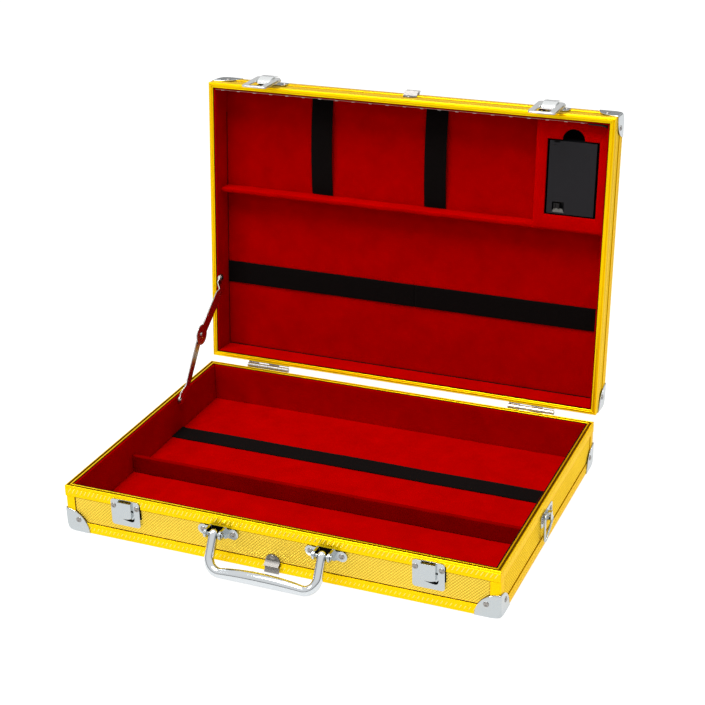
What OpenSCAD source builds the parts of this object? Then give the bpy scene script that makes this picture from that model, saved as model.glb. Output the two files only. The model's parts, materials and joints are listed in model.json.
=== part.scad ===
// Poker chip case: a shallow gold briefcase in millimetres, lid standing open.
// The origin is under the middle of the base, X runs along the front edge, Z is up.

/* [Case] */
// Width along the front
case_w = 430; // [360:1:520]
// Depth from front to back
case_d = 300; // [250:1:360]
// Height of the base, from its corner caps to its rim
base_h = 48; // [46:1:70]
// Height of the lid, from its rim to its corner caps
lid_h = 34; // [32:1:60]
// Angle at which the lid stands open
lid_open = 95; // [70:1:100]

/* [Frame] */
// Width of the rim rail, seen from above
rail_w = 5; // [4:0.1:8]
// Wall of the metal rails
rail_t = 0.9; // [0.6:0.1:1.5]
// Height of the rim rail's outer flange
flange_h = 11.2; // [8:0.1:14]
// Height of the rim rail's inner flange
inner_flange_h = 7; // [4:0.1:10]
// Thickness of the rim rail's top
web_t = 1.6; // [1.2:0.1:2.5]
// Width of the groove in the base rim
groove_w = 2.2; // [1.6:0.1:3]
// Depth of the groove in the base rim
groove_d = 0.8; // [0.5:0.1:1.2]
// Legs of the edge rails
edge_leg = 10; // [8:0.5:14]
// Legs of the corner posts
post_leg = 9.5; // [6:0.5:14]
// Thickness of the floor panels
floor_t = 2.6; // [2:0.1:5]
// Gap between the closed rims
seam = 0.2; // [0.1:0.05:0.5]
// Leg of a corner cap
cap_leg = 24.3; // [16:0.1:32]
// Wall of a corner cap
cap_t = 0.9; // [0.6:0.1:1.5]

/* [Inside] */
// Thickness of the velvet board on the walls
lining_t = 1.8; // [1:0.1:3]
// Thickness of the velvet board on the floors
floor_lining_t = 2.4; // [1:0.1:4]
// How far the wall lining stays below the rim
lining_drop = 1.2; // [0.5:0.1:4]
// Thickness of the divider in the base
divider_t = 4.6; // [3:0.1:8]
// Height of the divider above the floor
divider_h = 18.6; // [10:0.1:34]
// Distance from the divider's front face to the front lining
front_bay = 104; // [60:1:140]
// Thickness of the partition in the lid
partition_t = 5; // [3:0.1:8]
// How far the partition stays below the lid rim
partition_drop = 10.7; // [4:0.1:14]
// Distance from the partition to the lid's front lining
lid_bay = 106; // [95:1:125]
// Width of the long elastic straps
strap_w = 24; // [15:1:40]
// Thickness of the elastic
strap_t = 1.2; // [0.8:0.1:2]
// Distance from the base's long strap to the rear lining
strap_back = 77.5; // [20:0.5:110]
// Distance from the lid's long strap to the rear lining
lid_strap_back = 71.5; // [20:0.5:110]
// Width of the short elastic straps
short_strap_w = 23.5; // [15:0.5:40]
// Places of the short straps along the lid
short_strap_x = [-96.6, 28.5];
// Rise of the short straps at their middle
short_strap_bow = 3.5; // [1:0.5:6]
// Width of the foam insert
foam_w = 72; // [65:0.1:110]
// Width of the pocket in the foam
pocket_w = 51.5; // [49:0.1:60]
// Length of the pocket in the foam
pocket_l = 75; // [72:0.1:86]
// Foam between the pocket and the lid's right end
pocket_side = 9; // [7:0.5:14]
// Foam between the pocket and the partition
pocket_foot = 11; // [4:0.5:14]
// Radius of the thumb notch
notch_r = 11; // [6:0.5:14]

/* [Light] */
// Width of the battery box
box_w = 47; // [46:0.1:56]
// Length of the battery box
box_l = 72; // [66:0.1:82]
// Thickness of the battery box
box_t = 17.2; // [17:0.1:20]
// Wall of the battery box
box_wall = 1.2; // [0.8:0.1:1.5]
// Diameter of a battery cell
cell_d = 14.2; // [13.5:0.1:14.5]
// Length of a battery cell
cell_l = 50; // [44:0.5:51]
// Width of the light strip
led_strip_w = 8; // [5:0.5:10]
// Distance from the end of the light strip to the lid's right lining
led_end_gap = 20.4; // [20:0.1:120]
// Number of lights on the strip
led_count = 22; // [8:1:24]
// Diameter of the lead
lead_d = 2; // [1:0.1:3]

/* [Latches] */
// Distance from the middle of the case to each latch
latch_x = 150; // [100:1:185]
// Width of the latch plates
plate_w = 30; // [24:0.5:36]
// Thickness of the latch plates
plate_t = 1; // [0.8:0.1:1.5]
// Width of the strike housing
strike_w = 14.5; // [10:0.5:17]
// How far the strike housing stands out
strike_out = 3.3; // [2:0.1:4]
// Width of the hasp loop
hasp_w = 27; // [25:0.5:32]
// Width of each arm of the loop
hasp_arm = 4.2; // [3:0.1:5]
// Thickness of the loop
hasp_t = 1.8; // [1.2:0.1:2.2]
// Distance of the hasp pin from the lid's front
hasp_out = 6.6; // [6:0.1:9]
// Height of the hasp pin above the lid rim
hasp_up = 9; // [7:0.1:11]
// Length of the hasp loop below its pin
hasp_l = 35.4; // [34:0.1:38]
// Angle of the hasp to the lid's front while the lid stands open
hasp_lean = 3.4; // [2:0.1:6]

/* [Handle] */
// Distance from the middle of the case to each handle leg
handle_x = 53.5; // [40:0.5:70]
// Length from the pivots to the middle of the grip
handle_l = 32; // [26:0.5:32]
// Distance of the handle pivots from the front
pivot_out = 9.5; // [9:0.5:14]
// Diameter of the handle legs
leg_d = 9.3; // [6:0.1:10]
// Diameter of the grip at its middle
grip_d = 12; // [9:0.5:12.4]
// Radius of the handle's corners
bend_r = 12; // [8:0.5:16]
// Angle at which the handle leans out
handle_lean = 30; // [25:1:60]

/* [Strap rings] */
// Side of the three-sided ring
ring_side = 32; // [22:0.5:32]
// Diameter of the ring's wire
ring_wire = 2.4; // [2:0.1:3]
// Angle at which the ring hangs askew
ring_lean = 30; // [0:1:35]
// Place of the ring along the end wall
ring_y = -14; // [-60:1:60]

/* [Hinges] */
// Distance from the middle of the case to each hinge
hinge_x = 148; // [90:1:180]
// Length of each hinge
hinge_l = 48; // [30:1:60]
// Distance of the hinge axis behind the case
hinge_out = 4.5; // [4:0.1:6]
// Radius of the hinge knuckles
knuckle_r = 2.8; // [2.2:0.1:3.2]
// Radius of the hinge pin
pin_r = 1.5; // [1:0.1:1.6]
// How far the stay's elbow bends off the straight line
elbow_rise = 11.4; // [6:0.1:16]
// Width of the stay's lower link
link_w = 9.5; // [5:0.5:11]
// Width of the stay's upper link
upper_link_w = 13; // [8:0.5:14]
// Thickness of the stay links
link_t = 1.2; // [1:0.1:1.5]
// Distance of the stay's pivots in front of the hinge axis
stay_reach = 92.5; // [80:0.5:105]

/* [Hidden] */
$fn = 48;
fit = 0.1;
clear = 0.3;
eps = 0.01;
shy = 0.05;
total_h = base_h + seam + lid_h;
rim_z = base_h + seam;
panel_t = rail_w - 2 * rail_t;
panel_in = rail_t;
inner_w = case_w / 2 - rail_w - lining_t;
inner_d = case_d / 2 - rail_w - lining_t;
wall_z = cap_t + rail_t + floor_t;
floor_z = wall_z + floor_lining_t;
hinge_y = case_d / 2 + hinge_out;
hinge_z = base_h + seam / 2;
rivet_r = 2.3;
rivet_shank = 1.2;
rivet_rise = 0.8;
cap_rivet_at = 13.5;
gold = "gold";
velvet = "crimson";
elastic = "black";
chrome = "silver";

// ---- placing ----
module span(a, b) { translate(a) cube(b - a); }

module lid_pose() {
    translate([0, hinge_y, hinge_z]) rotate([-lid_open, 0, 0])
        translate([0, -hinge_y, -hinge_z]) children();
}

// the lid is a second tray, turned over and stood open
module as_lid() {
    lid_pose() translate([0, 0, total_h]) mirror([0, 0, 1]) children();
}

module mirror_x() {
    children();
    mirror([1, 0, 0]) children();
}

// local y points out of the front face
module on_front(x, z) {
    translate([x, -case_d / 2, z]) mirror([0, 1, 0]) children();
}

// local y points out of the right end face, local x runs to the rear
module on_end(y, z) {
    translate([case_w / 2, y, z]) rotate([0, 0, -90]) mirror([1, 0, 0]) children();
}

module on_rear(x, z) {
    translate([x, case_d / 2, z]) children();
}

module rod_x(r, l) {
    rotate([0, 90, 0]) cylinder(r = r, h = l, center = true);
}

module rod_y(r, l) {
    rotate([-90, 0, 0]) cylinder(r = r, h = l);
}

// a plate in local x and z, standing out from local y = 0
module plate(thick) {
    translate([0, thick, 0]) rotate([90, 0, 0]) linear_extrude(thick) children();
}

module rounded(w, h, r) {
    square([w - 2 * r, h], center = true);
    square([w, h - 2 * r], center = true);
    for (x = [-1, 1], y = [-1, 1])
        translate([x * (w / 2 - r), y * (h / 2 - r)]) circle(r);
}

// ---- trays ----
// carries a profile round the four sides with mitred corners
module mitred_ring(wide) {
    for (side = [0:3]) {
        run = side % 2 == 0 ? case_w : case_d;
        out = side % 2 == 0 ? case_d : case_w;
        rotate([0, 0, 90 * side]) translate([0, -out / 2, 0]) intersection() {
            translate([-run / 2, 0, 0]) rotate([90, 0, 90]) linear_extrude(run) children();
            linear_extrude(total_h) polygon([[-run / 2, 0], [run / 2, 0],
                [run / 2 - wide, wide], [-run / 2 + wide, wide]]);
        }
    }
}

module rim_profile(h) {
    translate([0, h - flange_h]) square([rail_t, flange_h]);
    translate([0, h - web_t]) square([rail_w, web_t]);
    translate([rail_w - rail_t, h - inner_flange_h]) square([rail_t, inner_flange_h]);
}

module grooved_rim(h) {
    mitred_ring(rail_w) difference() {
        rim_profile(h);
        translate([(rail_w - groove_w) / 2, h - groove_d]) square([groove_w, groove_d + 1]);
    }
}

module tongued_rim(h) {
    tongue_w = groove_w - 2 * clear;
    mitred_ring(rail_w) {
        rim_profile(h);
        translate([(rail_w - tongue_w) / 2, h - eps]) square([tongue_w, groove_d - clear + eps]);
    }
}

module edge_rails() {
    mitred_ring(edge_leg) {
        translate([0, cap_t]) square([rail_t, edge_leg]);
        translate([0, cap_t]) square([edge_leg, rail_t]);
    }
}

module corner_posts(h) {
    low = cap_t + edge_leg;
    mirror_x() for (y = [0, 1]) mirror([0, y, 0])
        translate([-case_w / 2, -case_d / 2, low]) difference() {
            cube([post_leg, post_leg, h - flange_h - low]);
            translate([rail_t, rail_t, -1]) cube([post_leg, post_leg, h]);
        }
}

module floor_panel() {
    x = case_w / 2 - panel_in;
    y = case_d / 2 - panel_in;
    span([-x, -y, cap_t + rail_t], [x, y, wall_z]);
}

module long_panel(h) {
    x = case_w / 2 - panel_in;
    y = case_d / 2 - panel_in;
    span([-x, -y, wall_z], [x, panel_t - y, h - web_t]);
}

module end_panels(h) {
    x = case_w / 2 - panel_in;
    y = case_d / 2 - panel_in - panel_t;
    mirror_x() span([x - panel_t, -y, wall_z], [x, y, h - web_t]);
}

module floor_lining() {
    span([-inner_w, -inner_d, wall_z], [inner_w, inner_d, floor_z]);
}

module wall_lining(h) {
    top = h - lining_drop;
    mirror_x() span([inner_w, -inner_d, wall_z], [inner_w + lining_t, inner_d, top]);
    for (y = [0, 1]) mirror([0, y, 0])
        span([-inner_w - lining_t, inner_d, wall_z],
            [inner_w + lining_t, inner_d + lining_t, top]);
}

// one quarter disc on each of the three faces that meet at a corner
module corner_cap() {
    module leaf(turn) {
        rotate(turn) intersection() {
            cylinder(r = cap_leg, h = cap_t, $fn = 64);
            span([0, 0, -1], [cap_leg, cap_leg, cap_t + 1]);
        }
    }
    difference() {
        union() {
            leaf([0, 0, 0]);
            translate([0, cap_t, 0]) leaf([90, 0, 0]);
            mirror([1, 0, 0]) leaf([0, -90, 0]);
        }
        for (spot = cap_rivet_spots())
            translate(spot[0]) rotate(spot[1]) translate([0, 0, -1]) cylinder(r = rivet_shank, h = 3);
    }
}

function cap_rivet_spots() = [
    [[cap_rivet_at, 0, cap_rivet_at], [-90, 0, 0]],
    [[0, cap_rivet_at, cap_rivet_at], [0, 90, 0]],
    [[cap_rivet_at, cap_rivet_at, 0], [0, 0, 0]]
];

// a cap's rivets, heads outwards
module cap_rivets() {
    for (spot = cap_rivet_spots())
        translate(spot[0]) rotate(spot[1]) rivet(cap_t + rail_t, flat = spot[0][2] == 0);
}

// a domed head on z = 0 with its shank up through the plate
module rivet(through, flat = false) {
    cylinder(r = rivet_shank - fit, h = through);
    if (!flat) mirror([0, 0, 1]) dome(rivet_r, rivet_rise);
}

module dome(r, rise) {
    ball = (r * r + rise * rise) / (2 * rise);
    intersection() {
        translate([0, 0, rise - ball]) sphere(ball, $fn = 64);
        cylinder(r = r + 1, h = rise + 1);
    }
}

module at_corners() {
    mirror_x() for (y = [0, 1]) mirror([0, y, 0])
        translate([-case_w / 2 - cap_t, -case_d / 2 - cap_t, 0]) children();
}

// ---- latches ----
plate_low = base_h - 30.5;
plate_high = base_h - 3.6;
plate_rivet = [12.2, base_h - 10.4];
strike_low = base_h - 22;
strike_high = base_h - 5.5;

// a plate on the wall of a tray h high, thickened down to the panel between the rails
module seated(h, thick) {
    plate(thick) children();
    translate([0, -rail_t, 0]) intersection() {
        plate(rail_t) children();
        span([-case_w, 0, cap_t + edge_leg], [case_w, rail_t, h - flange_h]);
    }
}

module strike_face(side, low, round_r) {
    intersection() {
        translate([-side, low]) square([2 * side, strike_high - low]);
        translate([0, low + round_r]) circle(round_r, $fn = 64);
    }
}

module strike_plate() {
    wall = 0.8;
    half = strike_w / 2;
    mid = (plate_low + plate_high) / 2;
    difference() {
        union() {
            seated(base_h, plate_t) translate([0, mid]) rounded(plate_w, plate_high - plate_low, 3);
            plate(strike_out) strike_face(half, strike_low, strike_high - strike_low);
        }
        translate([0, -2, 0]) plate(strike_out - wall + 2)
            strike_face(half - wall, strike_low - 1.4, strike_high - strike_low + 1.4);
        translate([0, 0, strike_high - 1]) span([wall - half, 0.3, 0], [half - wall, strike_out - wall, 3]);
        for (x = [-1, 1]) translate([x * plate_rivet[0], -2, plate_rivet[1]]) rod_y(rivet_shank, 5);
    }
}

// a front rivet, head outwards
module front_rivet(x, z, face, through) {
    translate([x, face, z]) rotate([90, 0, 0]) rivet(through);
}

mount_low = 13;
mount_high = 28;
mount_rivet = [11.8, 22.5];
lug_x = 3;
lug_t = 2.2;
eye_r = 2.2;
latch_pin_r = 1.1;

// the hasp's hinge plate: local z is the height above the lid rim
module latch_mount() {
    outer = lug_x + lug_t;
    difference() {
        union() {
            translate([0, 0, (mount_low + mount_high) / 2]) plate(plate_t)
                rounded(plate_w, mount_high - mount_low, 3);
            span([4 - plate_w / 2, -rail_t, mount_low], [plate_w / 2 - 4, 0, lid_h - cap_t - edge_leg]);
            span([-outer, 0, hasp_up - eye_r], [outer, plate_t, mount_low + 1]);
            for (x = [-1, 1]) translate([x * (lug_x + lug_t / 2), 0, 0]) {
                span([-lug_t / 2, 0, hasp_up - eye_r + 0.2], [lug_t / 2, hasp_out, hasp_up + eye_r - 0.2]);
                translate([0, hasp_out, hasp_up]) rod_x(eye_r, lug_t);
            }
        }
        translate([0, hasp_out, hasp_up]) rod_x(latch_pin_r + fit, plate_w);
        for (x = [-1, 1]) translate([x * mount_rivet[0], -2, mount_rivet[1]]) rod_y(rivet_shank, 5);
    }
}

lever_at = -9;
lever_pin_r = 1;
bar_h = 3.2;

// the loop lies flat in local x and z, its pin at the origin
module hasp() {
    knuckle_in = lug_x + lug_t + clear;
    half = hasp_w / 2;
    low = -hasp_l;
    rotate([-hasp_lean, 0, 0]) difference() {
        union() {
            intersection() {
                union() {
                    for (x = [-1, 1]) {
                        translate([x * (half - hasp_arm / 2), 0, 0])
                            span([-hasp_arm / 2, -hasp_t / 2, low], [hasp_arm / 2, hasp_t / 2, 0]);
                        translate([x * (knuckle_in + half) / 2, 0, 0]) {
                            rod_x(eye_r, half - knuckle_in);
                            span([(knuckle_in - half) / 2, -hasp_t / 2, -eye_r - 0.6],
                                [(half - knuckle_in) / 2, hasp_t / 2, 0]);
                        }
                        translate([x * (half - hasp_arm / 2), 0, lever_at]) rod_x(lever_pin_r + 1, hasp_arm);
                    }
                    span([-half, -hasp_t / 2, low], [half, hasp_t / 2, low + bar_h]);
                }
                translate([0, 10, (eye_r + low) / 2]) rotate([90, 0, 0]) linear_extrude(20)
                    rounded(hasp_w, eye_r - low, 4);
            }
            span([-3.5, 0, low - 2], [3.5, hasp_t / 2, low + 1]);
        }
        rod_x(latch_pin_r + fit, hasp_w + 2);
        translate([0, 0, lever_at]) rod_x(lever_pin_r + fit, hasp_w + 2);
    }
}

lever_w = 14.4;
lever_outer = [[-13.5, 0.2], [-13, 1.6], [-11.5, 3], [-8.5, 3.9], [-3, 4.3], [3, 4.2], [7, 3.6], [9.5, 2.6]];
lever_inner = [[9.5, 1.5], [7, 2.5], [3, 3], [-3, 3.1], [-5.5, 2.8], [-6.6, 0], [-11.5, -0.6],
    [-13.5, -0.4]];

// a domed lever across the loop, in the loop's own plane
module snap_lever() {
    rotate([-hasp_lean, 0, 0]) difference() {
        union() {
            translate([-lever_w / 2, 0, 0]) rotate([90, 0, 90]) linear_extrude(lever_w)
                polygon([for (p = concat(lever_outer, lever_inner)) [p[1], p[0]]]);
            translate([0, 0, lever_at]) rod_x(2, lever_w - 1);
        }
        translate([0, 0, lever_at]) rod_x(lever_pin_r + fit, lever_w + 2);
    }
}

module at_hasps() {
    for (x = [-1, 1]) on_front(x * latch_x, rim_z) translate([0, hasp_out, hasp_up]) children();
}

// ---- handle ----
pivot_z = handle_l * cos(handle_lean) + grip_d / 2 + 0.1;
handle_pin_r = 1.7;
cheek_in = 6.3;
cheek_t = 2.2;
ear_x = 15.2;
ear_z = pivot_z - 2.3;

module handle_bracket() {
    difference() {
        union() {
            seated(base_h, plate_t) {
                for (x = [-1, 1]) translate([x * ear_x, ear_z]) circle(5.2);
                translate([-ear_x, ear_z - 4.6]) square([2 * ear_x, 9.2]);
                translate([0, pivot_z - 2]) rounded(19, 12, 2);
            }
            for (x = [-1, 1]) translate([x * (cheek_in + cheek_t / 2), 0, pivot_z]) {
                span([-cheek_t / 2, 0, -4], [cheek_t / 2, pivot_out, 3.7]);
                translate([0, pivot_out, 0]) rod_x(4.2, cheek_t);
            }
        }
        translate([0, pivot_out, pivot_z]) rod_x(handle_pin_r + fit, 40);
        for (x = [-1, 1]) translate([x * ear_x, -2, ear_z]) rod_y(rivet_shank, 5);
    }
}

module handle_pin() {
    long = 2 * (cheek_in + cheek_t);
    rod_x(handle_pin_r, long + 0.6);
    for (x = [-1, 1]) translate([x * (long / 2 + 0.7), 0, 0]) rod_x(handle_pin_r + 1, 0.8);
}

// hangs from its pivots, then leans out on the floor
module handle() {
    leg_r = leg_d / 2;
    grip_r = grip_d / 2;
    run = handle_x - bend_r;
    taper_at = 0.45 * run;
    overlap = 0.4;
    translate([0, -case_d / 2 - pivot_out, pivot_z]) rotate([-handle_lean, 0, 0]) {
        mirror_x() {
            difference() {
                union() {
                    translate([handle_x, 0, bend_r - handle_l - overlap])
                        cylinder(r = leg_r, h = handle_l - bend_r + overlap);
                    translate([handle_x, 0, 0]) rod_x(leg_r + 0.5, leg_d + 1.6);
                }
                translate([handle_x, 0, 0]) rod_x(handle_pin_r + fit, 20);
            }
            translate([run, 0, bend_r - handle_l]) rotate([90, 90, 0]) rotate_extrude(angle = 90)
                translate([bend_r, 0]) circle(leg_r - shy);
        }
        translate([0, 0, -handle_l]) rotate([0, 90, 0]) rotate_extrude() polygon([
            [0, -run - overlap], [leg_r, -run - overlap], [grip_r, -taper_at],
            [grip_r, taper_at], [leg_r, run + overlap], [0, run + overlap]]);
    }
}

rest_w = 14.5;
rest_h = 18.6;
rest_rivet_z = 15.2;

// a bent sheet clip, seen from the end: local y out of the wall, z up
module rest_clip() {
    edge_z = cap_t + edge_leg + 0.05;
    difference() {
        intersection() {
            translate([-rest_w / 2, 0, 0]) rotate([90, 0, 90]) linear_extrude(rest_w)
                polygon([[-rail_t, rest_h], [0.1, rest_h], [0.1, edge_z + 1.2], [1, edge_z], [4.6, 8.4],
                    [1.9, 6], [1.9, 4.6], [4.2, 1.6], [3.4, 1.2], [1, 4.3], [1, 6.4], [3.2, 8.4],
                    [0.2, edge_z], [-rail_t, edge_z]]);
            translate([0, -2, 0]) plate(10) {
                translate([0, rest_h - rest_w / 2]) circle(rest_w / 2 + 0.05);
                translate([-rest_w, -1]) square([2 * rest_w, rest_h - rest_w / 2]);
            }
        }
        translate([0, -2, rest_rivet_z]) rod_y(rivet_shank, 5);
    }
}

// ---- strap rings ----
ring_z = base_h - 18;
ring_out = 2.6;
tab_w = 5;
ring_corner = 3.5;
ring_rivet_x = 13;

module ring_plate() {
    slot = ring_wire / 2 / cos(ring_lean) + tab_w / 2 * tan(ring_lean) + clear;
    reach = ring_out + ring_wire / 2 + clear;
    difference() {
        union() {
            seated(base_h, 0.3) translate([0, ring_z]) rounded(36, 13, 4);
            span([-tab_w / 2, -rail_t, ring_z - slot - 1], [tab_w / 2, reach + 1, ring_z + slot + 1]);
        }
        span([-tab_w, 0.3, ring_z - slot], [tab_w, reach, ring_z + slot]);
        for (x = [-1, 1]) translate([x * ring_rivet_x, -2, ring_z]) rod_y(rivet_shank, 5);
    }
}

// a three-sided wire ring, its top side held in the tab
module strap_ring() {
    wire_r = ring_wire / 2;
    overlap = 0.4;
    straight = ring_side - 2 * ring_corner * tan(60);
    inset = ring_side / 2 * tan(30);
    translate([0, ring_out, ring_z]) rotate([0, ring_lean, 0]) rotate([90, 0, 0])
        translate([0, -inset, 0]) for (turn = [0, 120, 240]) rotate(turn) {
            translate([0, inset, 0]) rod_x(wire_r, straight + overlap);
            translate([straight / 2, inset - ring_corner, 0]) rotate(-30) rotate_extrude(angle = 120)
                translate([ring_corner, 0]) circle(wire_r - shy);
        }
}

// ---- hinges and stay ----
leaf_t = 1;
leaf_h = 9;
web_off = 1.6;
knuckle_gap = 0.3;

// a leaf below the axis with the knuckles whose numbers are given
module hinge_leaf(knuckles) {
    pitch = hinge_l / 4;
    difference() {
        union() {
            span([-hinge_l / 2, 0, -web_off - leaf_h], [hinge_l / 2, leaf_t, -web_off]);
            for (n = knuckles) translate([(n - 1.5) * pitch, 0, 0]) {
                span([(knuckle_gap - pitch) / 2, 0, -web_off - leaf_t],
                    [(pitch - knuckle_gap) / 2, hinge_out, -web_off]);
                translate([0, hinge_out, 0]) rod_x(knuckle_r, pitch - knuckle_gap);
            }
        }
        translate([0, hinge_out, 0]) rod_x(pin_r + fit, hinge_l + 2);
        for (x = [-1, 1]) translate([x * leaf_rivet_x, -1, leaf_rivet_z]) rod_y(rivet_shank, 4);
    }
}

leaf_rivet_x = hinge_l / 2 - 6;
leaf_rivet_z = -web_off - leaf_h / 2 - 0.8;

module at_hinges() {
    for (x = [-1, 1]) on_rear(x * hinge_x, hinge_z) children();
}

stay_drop = 7;
stay_low = [hinge_y - stay_reach, base_h - stay_drop];
stay_high = [hinge_y - stay_reach, rim_z + 4.3];
hinge_at = [hinge_y, hinge_z];
function turned(v, a) = [v[0] * cos(a) - v[1] * sin(a), v[0] * sin(a) + v[1] * cos(a)];
stay_high_open = hinge_at + turned(stay_high - hinge_at, -lid_open);
stay_line = stay_high_open - stay_low;
stay_normal = [-stay_line[1], stay_line[0]] / norm(stay_line);
elbow = (stay_low + stay_high_open) / 2 + elbow_rise * stay_normal;
link_l = norm(elbow - stay_low);
lower_angle = atan2(elbow[1] - stay_low[1], elbow[0] - stay_low[0]);
upper_angle = atan2(elbow[1] - stay_high_open[1], elbow[0] - stay_high_open[0]) + lid_open;

stay_boss = 1.2;
link_off = stay_boss + 0.2;
stay_stud_r = 1.5;

// boss, stud and head, standing in from the end lining along local x
module stay_pivot() {
    head_at = link_off + link_t + 0.2;
    rotate([0, 90, 0]) {
        cylinder(r = 4, h = stay_boss);
        cylinder(r = stay_stud_r, h = head_at);
        translate([0, 0, head_at]) cylinder(r = 3, h = 0.8);
    }
}

// a cranked strip along local y that steps in from its pivot to the given plane
module stay_link(plane, end_r, width) {
    neck = min(width, 8);
    difference() {
        union() {
            linear_extrude(neck, center = true) polygon([[link_off, 0], [link_off, 8], [plane, 16],
                [plane, link_l], [plane + link_t, link_l], [plane + link_t, 15.6],
                [link_off + link_t, 7.6], [link_off + link_t, 0]]);
            translate([plane, 0, 0]) rotate([0, 90, 0]) linear_extrude(link_t)
                polygon([[-neck / 2, 17], [-width / 2, 22], [-width / 2, link_l], [width / 2, link_l],
                    [width / 2, 22], [neck / 2, 17]]);
            translate([link_off, 0, 0]) rotate([0, 90, 0]) cylinder(r = neck / 2 + 0.4, h = link_t);
            translate([plane, link_l, 0]) rotate([0, 90, 0]) cylinder(r = end_r, h = link_t);
        }
        rotate([0, 90, 0]) cylinder(r = stay_stud_r + fit, h = 20);
    }
}

elbow_r = 11;
elbow_head = 1;
lower_plane = 5;
upper_plane = lower_plane + link_t + 0.4;

module at_left_lining(yz, turn) {
    translate([-inner_w, yz[0], yz[1]]) rotate([turn, 0, 0]) children();
}

// ---- inside ----
partition_y = lid_bay - inner_d;
foam_z = lid_h - partition_drop;
pocket = [inner_w - pocket_side - pocket_w, partition_y - pocket_foot - pocket_l];
box_at = pocket + [(pocket_w - box_w) / 2, (pocket_l - box_l) / 2];
cover_t = 1.3;
box_z = floor_z + fit;
cover_z = box_z + box_t - cover_t;
lead_gap = lead_d + 1;
lead_x = inner_w - lead_gap;
lead_y = box_at[1] + 6;
lead_z = floor_z + 7;

module divider() {
    y = front_bay - inner_d;
    span([-inner_w, y, floor_z], [inner_w, y + divider_t, floor_z + divider_h]);
}

module partition() {
    span([-inner_w, partition_y, floor_z], [inner_w, partition_y + partition_t, foam_z]);
}

module long_strap(back) {
    y = inner_d - back - strap_w;
    span([-inner_w, y, floor_z], [inner_w, y + strap_w, floor_z + strap_t]);
}

// bowed up in an arc between the front lining and the partition
module short_strap() {
    half = lid_bay / 2;
    arc_r = (half * half + short_strap_bow * short_strap_bow) / (2 * short_strap_bow);
    translate([-short_strap_w / 2, half - inner_d, floor_z]) rotate([90, 0, 90])
        linear_extrude(short_strap_w) intersection() {
            difference() {
                translate([0, short_strap_bow - arc_r]) circle(arc_r + strap_t, $fn = 400);
                translate([0, short_strap_bow - arc_r]) circle(arc_r, $fn = 400);
            }
            translate([-half, 0]) square([2 * half, short_strap_bow + 2 * strap_t]);
        }
}

module foam_insert() {
    difference() {
        span([inner_w - foam_w, -inner_d, floor_z], [inner_w, partition_y, foam_z]);
        translate([pocket[0], pocket[1], floor_z - 1]) cube([pocket_w, pocket_l, lid_h]);
        translate([pocket[0] + pocket_w / 2, pocket[1], floor_z - 1]) cylinder(r = notch_r, h = lid_h);
        span([lead_x, 3.7 - inner_d, lead_z - lead_gap / 2], [inner_w + 1, 6.7 - inner_d, lid_h]);
        span([lead_x, 3.7 - inner_d, lead_z - lead_gap / 2],
            [inner_w + 1, lead_y + lead_gap / 2, lead_z + lead_gap / 2]);
        span([pocket[0] + pocket_w - 1, lead_y - lead_gap / 2, lead_z - lead_gap / 2],
            [inner_w + 1, lead_y + lead_gap / 2, lead_z + lead_gap / 2]);
    }
}

cell_gap = 0.2;
cell_y = box_at[1] + box_wall + 2;
switch_w = 11.8;
switch_h = 10.3;
switch_at = box_at + [5.5, box_l - switch_h - 1.5];
knob_w = 6;
knob_travel = 3.2;

module battery_box() {
    translate([box_at[0], box_at[1], box_z]) difference() {
        cube([box_w, box_l, box_t - cover_t]);
        span([box_wall, box_wall, box_wall], [box_w - box_wall, cell_l + box_wall + 4, box_t]);
        span([box_wall, cell_l + box_wall + 5, box_t - cover_t - 5],
            [box_w - box_wall, box_l - box_wall, box_t]);
    }
}

module battery_cover() {
    translate([0, 0, cover_z]) difference() {
        translate([box_at[0], box_at[1], 0]) cube([box_w, box_l, cover_t]);
        translate([switch_at[0], switch_at[1], -1]) cube([switch_w, switch_h, 5]);
        translate([box_at[0] + 3.5, box_at[1] + 3.5, cover_t - 0.6]) cube([3.6, 1.2, 2]);
    }
}

module battery_cells() {
    count = floor((box_w - 2 * box_wall) / (cell_d + cell_gap));
    first = box_at[0] + box_w / 2 - (count - 1) / 2 * (cell_d + cell_gap);
    cell_z = box_z + box_wall + cell_d / 2 + fit;
    for (n = [0:count - 1]) translate([first + n * (cell_d + cell_gap), cell_y, cell_z]) {
        rod_y(cell_d / 2, cell_l - 1);
        translate([0, n % 2 == 0 ? -1 : cell_l - 1.5, 0]) rod_y(2.7, 1.5);
    }
}

module battery_switch() {
    translate([switch_at[0] + 1.2, switch_at[1] + 1.4, cover_z - 4.9])
        cube([knob_w, switch_h - 2.8, cover_t + 4.7]);
}

led_strip_l = 2 * inner_w - led_end_gap;
led_hi = lid_h - lining_drop - 0.4;
led_mid = led_hi - led_strip_w / 2;
led_tape = 0.4;
led_size = 3.6;
led_rise = 1;

module led_strip() {
    span([-inner_w, -inner_d, led_hi - led_strip_w], [led_strip_l - inner_w, led_tape - inner_d, led_hi]);
}

module led_chips() {
    pitch = (led_strip_l - 10.6) / (led_count - 1);
    for (n = [0:led_count - 1])
        translate([7.2 - inner_w + n * pitch - (n == led_count - 1 ? 2 : 0), led_tape - inner_d, led_mid])
            span([-led_size / 2, 0, -led_size / 2], [led_size / 2, led_rise, led_size / 2]);
}

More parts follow.
